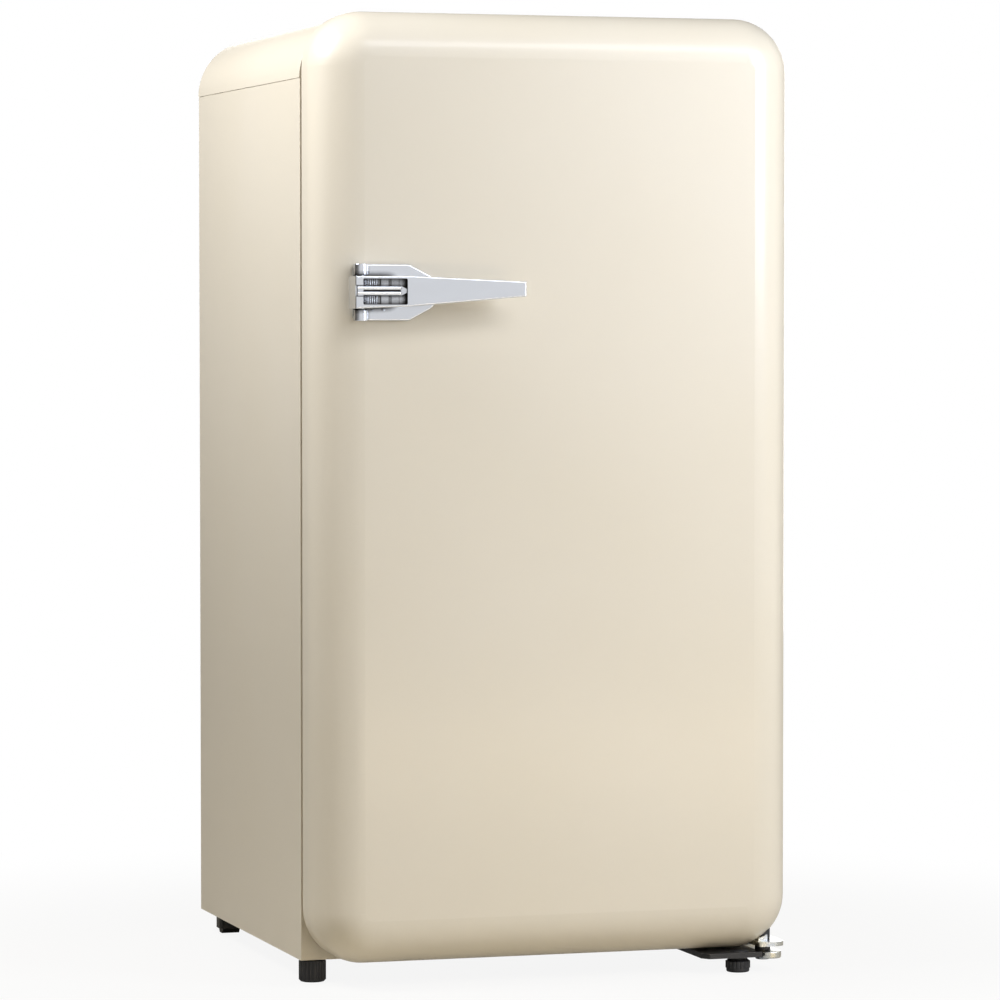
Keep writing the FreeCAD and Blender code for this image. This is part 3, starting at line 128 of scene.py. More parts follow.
# %% World
ROOM_STRENGTH = 0.09
BRIGHT_WALL = (0.42, -0.90, 0.10)
world = bpy.data.worlds.new("studio")
scene.world = world
world.use_nodes = True
sky = world.node_tree
sky.nodes.clear()
rays = add(sky, "ShaderNodeLightPath")
seen = add(sky, "ShaderNodeMath", {0: rays.outputs["Is Camera Ray"], 1: rays.outputs["Is Transmission Ray"]},
           operation="MAXIMUM")
toward = add(sky, "ShaderNodeTexCoord").outputs["Generated"]
front_right = add(sky, "ShaderNodeVectorMath", {0: toward, 1: BRIGHT_WALL}, operation="DOT_PRODUCT")
wall = add(sky, "ShaderNodeMapRange", {0: front_right.outputs["Value"], 1: -0.15, 2: 0.75, 3: 0.06, 4: 0.92},
           interpolation_type="SMOOTHSTEP")
mirror_share = add(sky, "ShaderNodeMath", {0: rays.outputs["Is Glossy Ray"], 1: wall.outputs[0]},
                   operation="MULTIPLY")
share = add(sky, "ShaderNodeMath", {0: seen.outputs[0], 1: mirror_share.outputs[0]}, operation="MAXIMUM")
room = add(sky, "ShaderNodeBackground", {"Color": linear("#E8DAC0"), "Strength": ROOM_STRENGTH})
white = add(sky, "ShaderNodeBackground", {"Color": (1, 1, 1, 1), "Strength": 1.0})
both = add(sky, "ShaderNodeMixShader", {0: share.outputs[0], 1: room.outputs[0], 2: white.outputs[0]})
add(sky, "ShaderNodeOutputWorld", {"Surface": both.outputs[0]})
print("world", len(sky.nodes), "nodes")


# %% [markdown]
# ## The floor
# A sheet of white paper. Close to the fridge it must take a soft shadow, and far away it must melt
# into the white behind. So it glows a little to the eye, and the share of that glow grows from the
# feet outwards until nothing of the paper's own shading is left.

# %% Floor paper
SHADOW_REACH = 0.35
ALL_WHITE_FROM = 1.0
NEAR_GLOW = 0.90


def floor_paper():
    """White paper that keeps a shadow near the fridge and turns plain white further off."""
    material = bpy.data.materials.new("white_floor_paper")
    material.use_nodes = True
    tree = material.node_tree
    tree.nodes.clear()
    rays = add(tree, "ShaderNodeLightPath")
    seen = add(tree, "ShaderNodeMath", {0: rays.outputs["Is Camera Ray"],
                                        1: rays.outputs["Is Transmission Ray"]}, operation="MAXIMUM")
    place = add(tree, "ShaderNodeTexCoord").outputs["Object"]
    depth = add(tree, "ShaderNodeSeparateXYZ", {0: place}).outputs[1]
    in_front = add(tree, "ShaderNodeMapRange", {0: depth, 1: 0.1, 2: -0.8, 3: 0.03, 4: 0.60})
    mirrored = add(tree, "ShaderNodeMath", {0: rays.outputs["Is Glossy Ray"], 1: in_front.outputs[0]},
                   operation="MULTIPLY")
    away = add(tree, "ShaderNodeVectorMath", {0: place}, operation="LENGTH")
    fade = add(tree, "ShaderNodeMapRange", {0: away.outputs["Value"], 1: SHADOW_REACH, 2: ALL_WHITE_FROM,
                                            3: NEAR_GLOW, 4: 1.0}, interpolation_type="SMOOTHSTEP")
    eye = add(tree, "ShaderNodeMath", {0: seen.outputs[0], 1: fade.outputs[0]}, operation="MULTIPLY")
    share = add(tree, "ShaderNodeMath", {0: eye.outputs[0], 1: mirrored.outputs[0]}, operation="MAXIMUM")
    paper = add(tree, "ShaderNodeBsdfDiffuse", {"Color": linear("#C9C2B2")})
    glow = add(tree, "ShaderNodeEmission", {"Color": (1, 1, 1, 1), "Strength": 1.0})
    mix = add(tree, "ShaderNodeMixShader", {0: share.outputs[0], 1: paper.outputs[0], 2: glow.outputs[0]})
    add(tree, "ShaderNodeOutputMaterial", {"Surface": mix.outputs[0]})
    return material


bpy.ops.object.select_all(action="DESELECT")
bpy.ops.mesh.primitive_plane_add(size=60, location=(0, 0, 0))
floor = bpy.context.object
floor.name = "floor"
floor.data.materials.append(floor_paper())
print("floor", floor.dimensions[:2])


# %% [markdown]
# ## Lamps
# Large area lamps give soft edges to light and shadow. They stand near and high, because a near lamp
# falls off down the door and the side, which is what makes the tall flat panels read as sheet metal
# and not as a flat colour. The strongest one stands front right, so the door brightens towards its
# hinge side, a second one lights the upper half of the left side, and a third stands far behind for
# whoever walks round to the back. The other three are weak and only lift the edges.

# %% Area lamps
def area_lamp(name, place, target, size, power, colour):
    data = bpy.data.lights.new(name, "AREA")
    data.shape = "RECTANGLE"
    data.size, data.size_y = size
    data.energy = power
    data.color = linear(colour)[:3]
    lamp = bpy.data.objects.new(name, data)
    lamp.location = place
    lamp.rotation_euler = (Vector(target) - Vector(place)).to_track_quat("-Z", "Y").to_euler()
    scene.collection.objects.link(lamp)
    print("lamp", name, power, "W")


area_lamp("key_lamp", (1.05, -1.35, 1.15), (0.15, -0.2, 0.72), (0.6, 1.0), 25.5, "#E6EEFF")
area_lamp("top_lamp", (0.4, -1.4, 1.75), (0.1, -0.2, 0.85), (1.0, 0.35), 8.5, "#F0F4FF")
area_lamp("side_lamp", (-1.0, -0.12, 1.42), (-0.24, -0.02, 0.90), (0.5, 0.5), 19.5, "#F3F6FF")
area_lamp("low_lamp", (0.45, -1.6, 0.08), (0.10, -0.2, 0.10), (1.2, 0.12), 2.4, "#FFEBCB")
area_lamp("rim_lamp", (1.5, -0.35, 0.55), (0.24, -0.2, 0.35), (0.3, 1.0), 0.7, "#FFFFFF")
area_lamp("back_lamp", (0.9, 2.2, 0.75), (0, 0.1, 0.5), (1.8, 1.2), 20, "#FFFFFF")


# %% [markdown]
# ## Finishes
# Each function below makes one real finish and is named for it. Patterns read object coordinates,
# which are metres on every piece, so a noise whose grains should be 2 mm wide gets a scale of
# 1 / 0.002 = 500.

# %% Start of a finish
def blank(name, **settings):
    """A new material with its Principled shader set as given, and its object coordinates."""
    material = bpy.data.materials.new(name)
    material.use_nodes = True
    tree = material.node_tree
    shader = tree.nodes["Principled BSDF"]
    for key, value in settings.items():
        shader.inputs[key.replace("_", " ")].default_value = value
    place = add(tree, "ShaderNodeTexCoord").outputs["Object"]
    return material, tree, shader, place


def per_metre(grain_mm):
    """Texture scale that makes grains of this size in millimetres."""
    return 1.0 / (grain_mm * MM)


print("2 mm grains need a scale of", per_metre(2.0))


# %% [markdown]
# ### Cream baked enamel
# The cabinet and the door are steel sheet, powder-coated in cream and baked. The eye sees a deep even
# colour under a soft gloss. Close up there is orange peel, ripples about 2.5 mm apart that only break
# up the edges of reflections, and the colour drifts by a shade over a hand's width. The ripples could
# be real displacement, but they are a few microns high, so a bump is enough.

# %% Cream enamel
def cream_baked_enamel():
    material, tree, shader, place = blank("cream_baked_enamel", Coat_Weight=0.30, Coat_Roughness=0.16)
    drift = add(tree, "ShaderNodeTexNoise", {"Vector": place, "Scale": per_metre(180), "Detail": 2.0})
    fleck = add(tree, "ShaderNodeTexNoise", {"Vector": place, "Scale": per_metre(0.9), "Detail": 1.0})
    base = add(tree, "ShaderNodeMix", {0: drift.outputs[0], 6: linear("#E3D8C0"), 7: linear("#E6DCC7")},
               data_type="RGBA")
    tint = add(tree, "ShaderNodeMix", {0: 0.03, 6: base.outputs[2], 7: fleck.outputs[0]},
               data_type="RGBA", blend_type="MULTIPLY")
    tree.links.new(tint.outputs[2], shader.inputs["Base Color"])
    peel = add(tree, "ShaderNodeTexNoise", {"Vector": place, "Scale": per_metre(2.5), "Detail": 2.0})
    rough = add(tree, "ShaderNodeMapRange", {0: peel.outputs[0], 3: 0.40, 4: 0.46})
    tree.links.new(rough.outputs[0], shader.inputs["Roughness"])
    bump = add(tree, "ShaderNodeBump", {"Height": peel.outputs[0], "Strength": 0.05, "Distance": 0.0004})
    tree.links.new(bump.outputs[0], shader.inputs["Normal"])
    tree.links.new(bump.outputs[0], shader.inputs["Coat Normal"])
    return material


# %% [markdown]
# ### Black e-coat
# Brackets and the compressor shell are dipped in a black primer that is baked on. It is satin, never
# quite black, with fine dust in it, and it rubs through to a greyer tone along edges. A bevel node
# finds those edges: where its rounded normal differs from the true one, there is an edge.

# %% Black e-coat
def black_e_coat():
    material, tree, shader, place = blank("black_e_coat_on_steel")
    dust = add(tree, "ShaderNodeTexNoise", {"Vector": place, "Scale": per_metre(6), "Detail": 5.0,
                                            "Roughness": 0.7})
    coat = add(tree, "ShaderNodeMix", {0: dust.outputs[0], 6: linear("#151516"), 7: linear("#2A2A2B")},
               data_type="RGBA")
    soft = add(tree, "ShaderNodeBevel", {"Radius": 0.0009}, samples=4)
    true_normal = add(tree, "ShaderNodeNewGeometry").outputs["Normal"]
    turn = add(tree, "ShaderNodeVectorMath", {0: soft.outputs[0], 1: true_normal}, operation="DOT_PRODUCT")
    edge = add(tree, "ShaderNodeMapRange", {0: turn.outputs["Value"], 1: 0.99, 2: 0.86, 3: 0.0, 4: 0.5})
    worn = add(tree, "ShaderNodeMix", {0: edge.outputs[0], 6: coat.outputs[2], 7: linear("#5A5A5C")},
               data_type="RGBA")
    tree.links.new(worn.outputs[2], shader.inputs["Base Color"])
    rough = add(tree, "ShaderNodeMapRange", {0: dust.outputs[0], 3: 0.32, 4: 0.52})
    tree.links.new(rough.outputs[0], shader.inputs["Roughness"])
    peel = add(tree, "ShaderNodeTexNoise", {"Vector": place, "Scale": per_metre(1.2), "Detail": 2.0})
    bump = add(tree, "ShaderNodeBump", {"Height": peel.outputs[0], "Strength": 0.08, "Distance": 0.0003})
    tree.links.new(bump.outputs[0], shader.inputs["Normal"])
    return material


# %% [markdown]
# ### Bright zinc plate
# The hinge's nose and leaf are steel, plated with zinc and passivated, which leaves a film that
# shines faintly blue in one place and straw yellow in the next. Under the plate the steel keeps the
# marks of rolling, fine lines about 0.4 mm apart that are drawn three times as coarse to show.

# %% Zinc plate
def bright_zinc_plate():
    material, tree, shader, place = blank("bright_zinc_plate", Metallic=1.0)
    film = add(tree, "ShaderNodeTexNoise", {"Vector": place, "Scale": per_metre(14), "Detail": 3.0})
    ramp = add(tree, "ShaderNodeMapRange", {0: film.outputs[0], 1: 0.35, 2: 0.65})
    tint = add(tree, "ShaderNodeMix", {0: ramp.outputs[0], 6: linear("#C3CBD6"), 7: linear("#D3CEBB")},
               data_type="RGBA")
    tree.links.new(tint.outputs[2], shader.inputs["Base Color"])
    squeezed = add(tree, "ShaderNodeMapping", {"Vector": place, "Scale": (1.0, 0.08, 1.0)})
    lines = add(tree, "ShaderNodeTexNoise", {"Vector": squeezed.outputs[0], "Scale": per_metre(1.2),
                                             "Detail": 3.0})
    rough = add(tree, "ShaderNodeMapRange", {0: lines.outputs[0], 3: 0.20, 4: 0.38})
    tree.links.new(rough.outputs[0], shader.inputs["Roughness"])
    bump = add(tree, "ShaderNodeBump", {"Height": lines.outputs[0], "Strength": 0.10, "Distance": 0.0002})
    tree.links.new(bump.outputs[0], shader.inputs["Normal"])
    return material


# %% [markdown]
# ### Galvanised sheet
# The back and the floor of the cabinet are bare galvanised steel. Hot zinc freezes into crystals, the
# spangle, each about 9 mm wide and each with its own brightness. Voronoi cells are such crystals: the
# cell's random colour sets both the tone and the gloss.

# %% Galvanised sheet
def galvanised_sheet():
    material, tree, shader, place = blank("galvanised_steel_sheet", Metallic=1.0)
    ragged = add(tree, "ShaderNodeTexNoise", {"Vector": place, "Scale": per_metre(5), "Detail": 2.0})
    pushed = add(tree, "ShaderNodeVectorMath", {0: ragged.outputs["Color"], 1: (0.004, 0.004, 0.004)},
                 operation="MULTIPLY")
    where = add(tree, "ShaderNodeVectorMath", {0: place, 1: pushed.outputs[0]}, operation="ADD")
    crystal = add(tree, "ShaderNodeTexVoronoi", {"Vector": where.outputs[0], "Scale": per_metre(9)})
    tone = add(tree, "ShaderNodeSeparateColor", {"Color": crystal.outputs["Color"]}).outputs[0]
    tint = add(tree, "ShaderNodeMix", {0: tone, 6: linear("#A3A9AD"), 7: linear("#C6CBCE")}, data_type="RGBA")
    tree.links.new(tint.outputs[2], shader.inputs["Base Color"])
    rough = add(tree, "ShaderNodeMapRange", {0: tone, 3: 0.36, 4: 0.56})
    tree.links.new(rough.outputs[0], shader.inputs["Roughness"])
    bump = add(tree, "ShaderNodeBump", {"Height": tone, "Strength": 0.05, "Distance": 0.0002})
    tree.links.new(bump.outputs[0], shader.inputs["Normal"])
    return material


# %% [markdown]
# ### Satin chrome on a zinc casting
# The handle is cast in zinc, polished and chrome plated. It is a mirror with a breath of haze, and
# the hand-polished faces are never quite flat, so reflections swim a little over about 15 mm. Between
# the reeds and in the ears the plate is painted darker, a painted shade where shade falls. Ambient
# occlusion over 6 mm finds those places.

# %% Chrome
def satin_chrome():
    material, tree, shader, place = blank("satin_chrome_on_zinc_casting", Metallic=1.0)
    haze = add(tree, "ShaderNodeTexNoise", {"Vector": place, "Scale": per_metre(5), "Detail": 4.0})
    # Painted shade: hollows between the reeds and in the ears are coloured nearly black.
    recess_painted_shade_ao = add(tree, "ShaderNodeAmbientOcclusion", {"Distance": 0.006}, samples=8)
    outside_painted_shade = add(tree, "ShaderNodeMapRange", {0: recess_painted_shade_ao.outputs["AO"], 1: 0.55, 2: 1.0})
    tint = add(tree, "ShaderNodeMix", {0: outside_painted_shade.outputs[0], 6: linear("#2F2D2B"), 7: linear("#DCDFE5")},
               data_type="RGBA")
    tree.links.new(tint.outputs[2], shader.inputs["Base Color"])
    rough = add(tree, "ShaderNodeMapRange", {0: haze.outputs[0], 3: 0.13, 4: 0.21})
    tree.links.new(rough.outputs[0], shader.inputs["Roughness"])
    swim = add(tree, "ShaderNodeTexNoise", {"Vector": place, "Scale": per_metre(15), "Detail": 1.0})
    bump = add(tree, "ShaderNodeBump", {"Height": swim.outputs[0], "Strength": 0.10, "Distance": 0.0006})
    tree.links.new(bump.outputs[0], shader.inputs["Normal"])
    return material


# %% [markdown]
# ### White polystyrene
# The liner, the door's inside and the bins are high-impact polystyrene, sheet drawn over a mould by
# vacuum. It is a bright cool white with a low gloss, lets a little light in, and keeps a faint
# leather-like grain of about 0.6 mm from the sheet rollers.

# %% White polystyrene
def white_polystyrene():
    material, tree, shader, place = blank("white_polystyrene", Subsurface_Weight=0.06,
                                          Subsurface_Radius=(0.004, 0.004, 0.005))
    drift = add(tree, "ShaderNodeTexNoise", {"Vector": place, "Scale": per_metre(90), "Detail": 2.0})
    tint = add(tree, "ShaderNodeMix", {0: drift.outputs[0], 6: linear("#E6E9E9"), 7: linear("#EFF1F0")},
               data_type="RGBA")
    tree.links.new(tint.outputs[2], shader.inputs["Base Color"])
    grain = add(tree, "ShaderNodeTexVoronoi", {"Vector": place, "Scale": per_metre(0.6)}, feature="SMOOTH_F1")
    rough = add(tree, "ShaderNodeMapRange", {0: drift.outputs[0], 3: 0.30, 4: 0.38})
    tree.links.new(rough.outputs[0], shader.inputs["Roughness"])
    bump = add(tree, "ShaderNodeBump", {"Height": grain.outputs[0], "Strength": 0.06, "Distance": 0.0002})
    tree.links.new(bump.outputs[0], shader.inputs["Normal"])
    return material


# %% [markdown]
# ### Polyurethane foam
# The insulation between skin and liner is poured in and foams up. It is straw yellow, and its cells
# are about 0.8 mm wide. Only a cutaway shows it.

# %% Foam
def polyurethane_foam():
    material, tree, shader, place = blank("polyurethane_foam", Roughness=0.9)
    cells = add(tree, "ShaderNodeTexVoronoi", {"Vector": place, "Scale": per_metre(0.8)})
    tone = add(tree, "ShaderNodeMapRange", {0: cells.outputs["Distance"], 1: 0.0, 2: 0.7})
    tint = add(tree, "ShaderNodeMix", {0: tone.outputs[0], 6: linear("#C4AE6C"), 7: linear("#E3D39C")},
               data_type="RGBA")
    tree.links.new(tint.outputs[2], shader.inputs["Base Color"])
    bump = add(tree, "ShaderNodeBump", {"Height": cells.outputs["Distance"], "Strength": 0.4,
                                        "Distance": 0.0006})
    tree.links.new(bump.outputs[0], shader.inputs["Normal"])
    return material


# %% [markdown]
# ### Soft PVC seal
# The door gasket is extruded soft PVC, warm light grey and slightly waxy. Dust gathers in its folds
# and shade falls there, so ambient occlusion over 6 mm paints them darker: dust and painted shade together.

# %% Soft PVC
def soft_pvc():
    material, tree, shader, place = blank("soft_pvc_seal", Subsurface_Weight=0.05,
                                          Subsurface_Radius=(0.003, 0.003, 0.003))
    drift = add(tree, "ShaderNodeTexNoise", {"Vector": place, "Scale": per_metre(25), "Detail": 3.0})
    clean = add(tree, "ShaderNodeMix", {0: drift.outputs[0], 6: linear("#C2BFB5"), 7: linear("#CFCCC3")},
                data_type="RGBA")
    # Painted shade and dust: the colour darkens in the folds where the occlusion finds them.
    dust_and_shade_ao = add(tree, "ShaderNodeAmbientOcclusion", {"Distance": 0.006}, samples=8)
    shade = add(tree, "ShaderNodeMapRange", {0: dust_and_shade_ao.outputs["AO"], 1: 0.2, 2: 0.8})
    tint = add(tree, "ShaderNodeMix", {0: shade.outputs[0], 6: linear("#8F8B80"), 7: clean.outputs[2]},
               data_type="RGBA")
    tree.links.new(tint.outputs[2], shader.inputs["Base Color"])
    rough = add(tree, "ShaderNodeMapRange", {0: drift.outputs[0], 3: 0.45, 4: 0.60})
    tree.links.new(rough.outputs[0], shader.inputs["Roughness"])
    skin = add(tree, "ShaderNodeTexNoise", {"Vector": place, "Scale": per_metre(1.5), "Detail": 2.0})
    bump = add(tree, "ShaderNodeBump", {"Height": skin.outputs[0], "Strength": 0.05, "Distance": 0.0003})
    tree.links.new(bump.outputs[0], shader.inputs["Normal"])
    return material


# %% [markdown]
# ### Clear and frosted SAN
# Trays and the drawer are styrene acrylonitrile, SAN, a glass-clear plastic with a faint blue cast
# and an index of 1.57. Moulding leaves flow lines some 20 mm apart that bend what is seen through
# it. The drawer and the lamp lens have the mould's frost on them, which blurs what is behind.

# %% Clear SAN and frosted SAN
def san_plastic(name, frost, clearness, colour):
    """frost is the roughness of the surface, clearness the share of light that it lets through."""
    material, tree, shader, place = blank(name, IOR=1.57, Transmission_Weight=clearness)
    flow = add(tree, "ShaderNodeTexNoise", {"Vector": place, "Scale": per_metre(20), "Detail": 2.0})
    thin = linear(colour)
    thick = tuple(c * 0.94 for c in thin[:3]) + (1,)
    tint = add(tree, "ShaderNodeMix", {0: flow.outputs[0], 6: thick, 7: thin}, data_type="RGBA")
    tree.links.new(tint.outputs[2], shader.inputs["Base Color"])
    rough = add(tree, "ShaderNodeMapRange", {0: flow.outputs[0], 3: frost * 0.8, 4: frost * 1.2})
    tree.links.new(rough.outputs[0], shader.inputs["Roughness"])
    bump = add(tree, "ShaderNodeBump", {"Height": flow.outputs[0], "Strength": 0.05, "Distance": 0.001})
    tree.links.new(bump.outputs[0], shader.inputs["Normal"])
    return material


# %% [markdown]
# ### Toughened glass
# The shelves are soda-lime float glass. Through the face it is nearly colourless, but its ground
# edges show the iron in it as green. So the shader asks which way a face points: faces that look up
# or down are clear, all others are the green, slightly rough edge.

# %% Shelf glass
def toughened_glass():
    material, tree, shader, place = blank("toughened_shelf_glass", IOR=1.52)
    facing = add(tree, "ShaderNodeSeparateXYZ", {0: add(tree, "ShaderNodeTexCoord").outputs["Normal"]})
    level = add(tree, "ShaderNodeMath", {0: facing.outputs[2]}, operation="ABSOLUTE")
    face = add(tree, "ShaderNodeMapRange", {0: level.outputs[0], 1: 0.5, 2: 0.9})
    tint = add(tree, "ShaderNodeMix", {0: face.outputs[0], 6: linear("#86BFA9"), 7: linear("#F1F7F4")},
               data_type="RGBA")
    tree.links.new(tint.outputs[2], shader.inputs["Base Color"])
    clear = add(tree, "ShaderNodeMapRange", {0: face.outputs[0], 3: 0.72, 4: 0.97})
    tree.links.new(clear.outputs[0], shader.inputs["Transmission Weight"])
    smear = add(tree, "ShaderNodeTexNoise", {"Vector": place, "Scale": per_metre(40), "Detail": 4.0})
    polish = add(tree, "ShaderNodeMapRange", {0: smear.outputs[0], 3: 0.01, 4: 0.06})
    rough = add(tree, "ShaderNodeMix", {0: face.outputs[0], 2: 0.30, 3: polish.outputs[0]})
    tree.links.new(rough.outputs[0], shader.inputs["Roughness"])
    return material


# %% [markdown]
# ### Lamp glass
# The bulb is blown glass, frosted inside, so it looks milky white when it is off.

# %% Lamp glass
def frosted_bulb_glass():
    material, tree, shader, place = blank("frosted_bulb_glass", IOR=1.50, Transmission_Weight=0.55)
    cloud = add(tree, "ShaderNodeTexNoise", {"Vector": place, "Scale": per_metre(8), "Detail": 2.0})
    tint = add(tree, "ShaderNodeMix", {0: cloud.outputs[0], 6: linear("#EDE9DC"), 7: linear("#FAF8F0")},
               data_type="RGBA")
    tree.links.new(tint.outputs[2], shader.inputs["Base Color"])
    rough = add(tree, "ShaderNodeMapRange", {0: cloud.outputs[0], 3: 0.30, 4: 0.42})
    tree.links.new(rough.outputs[0], shader.inputs["Roughness"])
    return material


# %% [markdown]
# ### Roll-bond aluminium
# The evaporator is two aluminium sheets rolled into one, with the channel blown up between them. The
# rollers leave long lines across the sheet, and a white oxide bloom settles on it in patches of
# about 30 mm.

# %% Roll-bond aluminium
def roll_bond_aluminium():
    material, tree, shader, place = blank("roll_bond_aluminium", Metallic=1.0)
    bloom = add(tree, "ShaderNodeTexNoise", {"Vector": place, "Scale": per_metre(30), "Detail": 5.0,
                                             "Roughness": 0.65})
    tint = add(tree, "ShaderNodeMix", {0: bloom.outputs[0], 6: linear("#BCC1C5"), 7: linear("#DBDEDF")},
               data_type="RGBA")
    tree.links.new(tint.outputs[2], shader.inputs["Base Color"])
    drawn = add(tree, "ShaderNodeMapping", {"Vector": place, "Scale": (0.05, 1.0, 1.0)})
    lines = add(tree, "ShaderNodeTexNoise", {"Vector": drawn.outputs[0], "Scale": per_metre(1.0),
                                             "Detail": 3.0})
    rough = add(tree, "ShaderNodeMapRange", {0: lines.outputs[0], 3: 0.32, 4: 0.55})
    tree.links.new(rough.outputs[0], shader.inputs["Roughness"])
    bump = add(tree, "ShaderNodeBump", {"Height": lines.outputs[0], "Strength": 0.08, "Distance": 0.0002})
    tree.links.new(bump.outputs[0], shader.inputs["Normal"])
    return material


# %% [markdown]
# ### Black rubber and black nylon
# Grommets and the sleeves of the feet are rubber, matt and dusty. The feet's knobs, bushes and the
# relay cover are glass-filled nylon, moulded against a spark-eroded steel surface whose grit of
# about 0.4 mm breaks the gloss. Both are drawn at twice their real grain, so that it shows.

# %% Black rubber
def black_rubber():
    material, tree, shader, place = blank("black_rubber", Specular_IOR_Level=0.35)
    dust = add(tree, "ShaderNodeTexNoise", {"Vector": place, "Scale": per_metre(3), "Detail": 6.0,
                                            "Roughness": 0.75})
    tint = add(tree, "ShaderNodeMix", {0: dust.outputs[0], 6: linear("#111112"), 7: linear("#2B2B2A")},
               data_type="RGBA")
    tree.links.new(tint.outputs[2], shader.inputs["Base Color"])
    rough = add(tree, "ShaderNodeMapRange", {0: dust.outputs[0], 3: 0.65, 4: 0.88})
    tree.links.new(rough.outputs[0], shader.inputs["Roughness"])
    bump = add(tree, "ShaderNodeBump", {"Height": dust.outputs[0], "Strength": 0.12, "Distance": 0.0003})
    tree.links.new(bump.outputs[0], shader.inputs["Normal"])
    return material


# %% Moulded plastics
def moulded_plastic(name, dark, light, gloss):
    """Plastic from a spark-eroded mould; dark and light are the ends of its colour drift."""
    material, tree, shader, place = blank(name)
    drift = add(tree, "ShaderNodeTexNoise", {"Vector": place, "Scale": per_metre(12), "Detail": 3.0})
    tint = add(tree, "ShaderNodeMix", {0: drift.outputs[0], 6: linear(dark), 7: linear(light)},
               data_type="RGBA")
    tree.links.new(tint.outputs[2], shader.inputs["Base Color"])
    grit = add(tree, "ShaderNodeTexNoise", {"Vector": place, "Scale": per_metre(0.8), "Detail": 2.0})
    rough = add(tree, "ShaderNodeMapRange", {0: grit.outputs[0], 3: gloss * 0.85, 4: gloss * 1.15})
    tree.links.new(rough.outputs[0], shader.inputs["Roughness"])
    bump = add(tree, "ShaderNodeBump", {"Height": grit.outputs[0], "Strength": 0.18, "Distance": 0.0002})
    tree.links.new(bump.outputs[0], shader.inputs["Normal"])
    return material


# %% [markdown]
# ### Copper tube
# The refrigerant lines are soft copper. Fresh copper is salmon, and brazing heat and air turn it
# brown in patches, which are also less shiny.

# %% Copper
def oxidised_copper():
    material, tree, shader, place = blank("oxidised_copper_tube", Metallic=1.0)
    patches = add(tree, "ShaderNodeTexNoise", {"Vector": place, "Scale": per_metre(35), "Detail": 5.0})
    brown = add(tree, "ShaderNodeMapRange", {0: patches.outputs[0], 1: 0.42, 2: 0.62})
    tint = add(tree, "ShaderNodeMix", {0: brown.outputs[0], 6: linear("#D08A66"), 7: linear("#8A5A3E")},
               data_type="RGBA")
    tree.links.new(tint.outputs[2], shader.inputs["Base Color"])
    rough = add(tree, "ShaderNodeMapRange", {0: brown.outputs[0], 3: 0.22, 4: 0.45})
    tree.links.new(rough.outputs[0], shader.inputs["Roughness"])
    return material


# %% [markdown]
# ### Bright drawn steel
# Pins, springs and bolts are drawn steel under a film of oil: grey, fairly bright, with a streak
# here and there where the film has dried.

# %% Drawn steel
def bright_drawn_steel():
    material, tree, shader, place = blank("bright_drawn_steel", Metallic=1.0)
    streak = add(tree, "ShaderNodeTexNoise", {"Vector": place, "Scale": per_metre(4), "Detail": 4.0})
    tint = add(tree, "ShaderNodeMix", {0: streak.outputs[0], 6: linear("#8B8F93"), 7: linear("#B9BCBF")},
               data_type="RGBA")
    tree.links.new(tint.outputs[2], shader.inputs["Base Color"])
    rough = add(tree, "ShaderNodeMapRange", {0: streak.outputs[0], 3: 0.22, 4: 0.42})
    tree.links.new(rough.outputs[0], shader.inputs["Roughness"])
    return material


# %% [markdown]
# ## Every ready-made piece gets its finish
# The record names a material slot for each piece, so one table from slot to finish dresses them all.

# %% Dress the ready-made pieces
FINISH = {
    "cream_enamel": cream_baked_enamel(),
    "black_enamel": black_e_coat(),
    "zinc_plate": bright_zinc_plate(),
    "galvanised_sheet": galvanised_sheet(),
    "chrome": satin_chrome(),
    "white_plastic": white_polystyrene(),
    "insulation_foam": polyurethane_foam(),
    "seal_rubber": soft_pvc(),
    "clear_plastic": san_plastic("clear_san", 0.05, 0.96, "#F6FAFB"),
    "frosted_plastic": san_plastic("frosted_san", 0.30, 0.86, "#F1F6F7"),
    "shelf_glass": toughened_glass(),
    "lamp_glass": frosted_bulb_glass(),
    "aluminium": roll_bond_aluminium(),
    "black_rubber": black_rubber(),
    "black_plastic": moulded_plastic("black_glass_filled_nylon", "#161617", "#222224", 0.46),
    "grey_plastic": moulded_plastic("grey_abs", "#B0B4B7", "#BDC0C2", 0.42),
    "copper": oxidised_copper(),
    "steel": bright_drawn_steel(),
}
SLOT_OF = {part["node"]: part["material_slot"] for part in frame["record"]["subparts"]}
for piece_name, slot_name in SLOT_OF.items():
    slots = NODES[piece_name].data.materials
    slots.clear()
    slots.append(FINISH[slot_name])
print("dressed", len(SLOT_OF), "pieces in", len(set(SLOT_OF.values())), "finishes")


# %% [markdown]
# ## Modelling helpers
# Operators act on everything that is selected, so each step first clears the selection and then picks
# faces or vertices by their place. Three helpers do that, and the first also puts a fresh piece's place
# into its mesh, so its object sits at the origin like the ready-made ones; a last one gives a finished piece
# its finish and its body.

# %% Selection and finishing helpers
def start_piece(name):
    """Names the fresh primitive and opens it for editing."""
    piece = bpy.context.object
    piece.name = name
    bpy.ops.object.transform_apply(location=True, rotation=True, scale=True)
    bpy.ops.object.mode_set(mode="EDIT")
    return piece


def pick(piece, kind, test):
    """Selects the faces or verts whose middle passes the test, and nothing else."""
    bpy.ops.mesh.select_mode(type="FACE" if kind == "faces" else "VERT")
    bpy.ops.mesh.select_all(action="DESELECT")
    mesh = bmesh.from_edit_mesh(piece.data)
    chosen = 0
    for item in getattr(mesh, kind):
        middle = item.calc_center_median() if kind == "faces" else item.co
        if test(middle):
            item.select_set(True)
            chosen += 1
    bmesh.update_edit_mesh(piece.data)
    return chosen


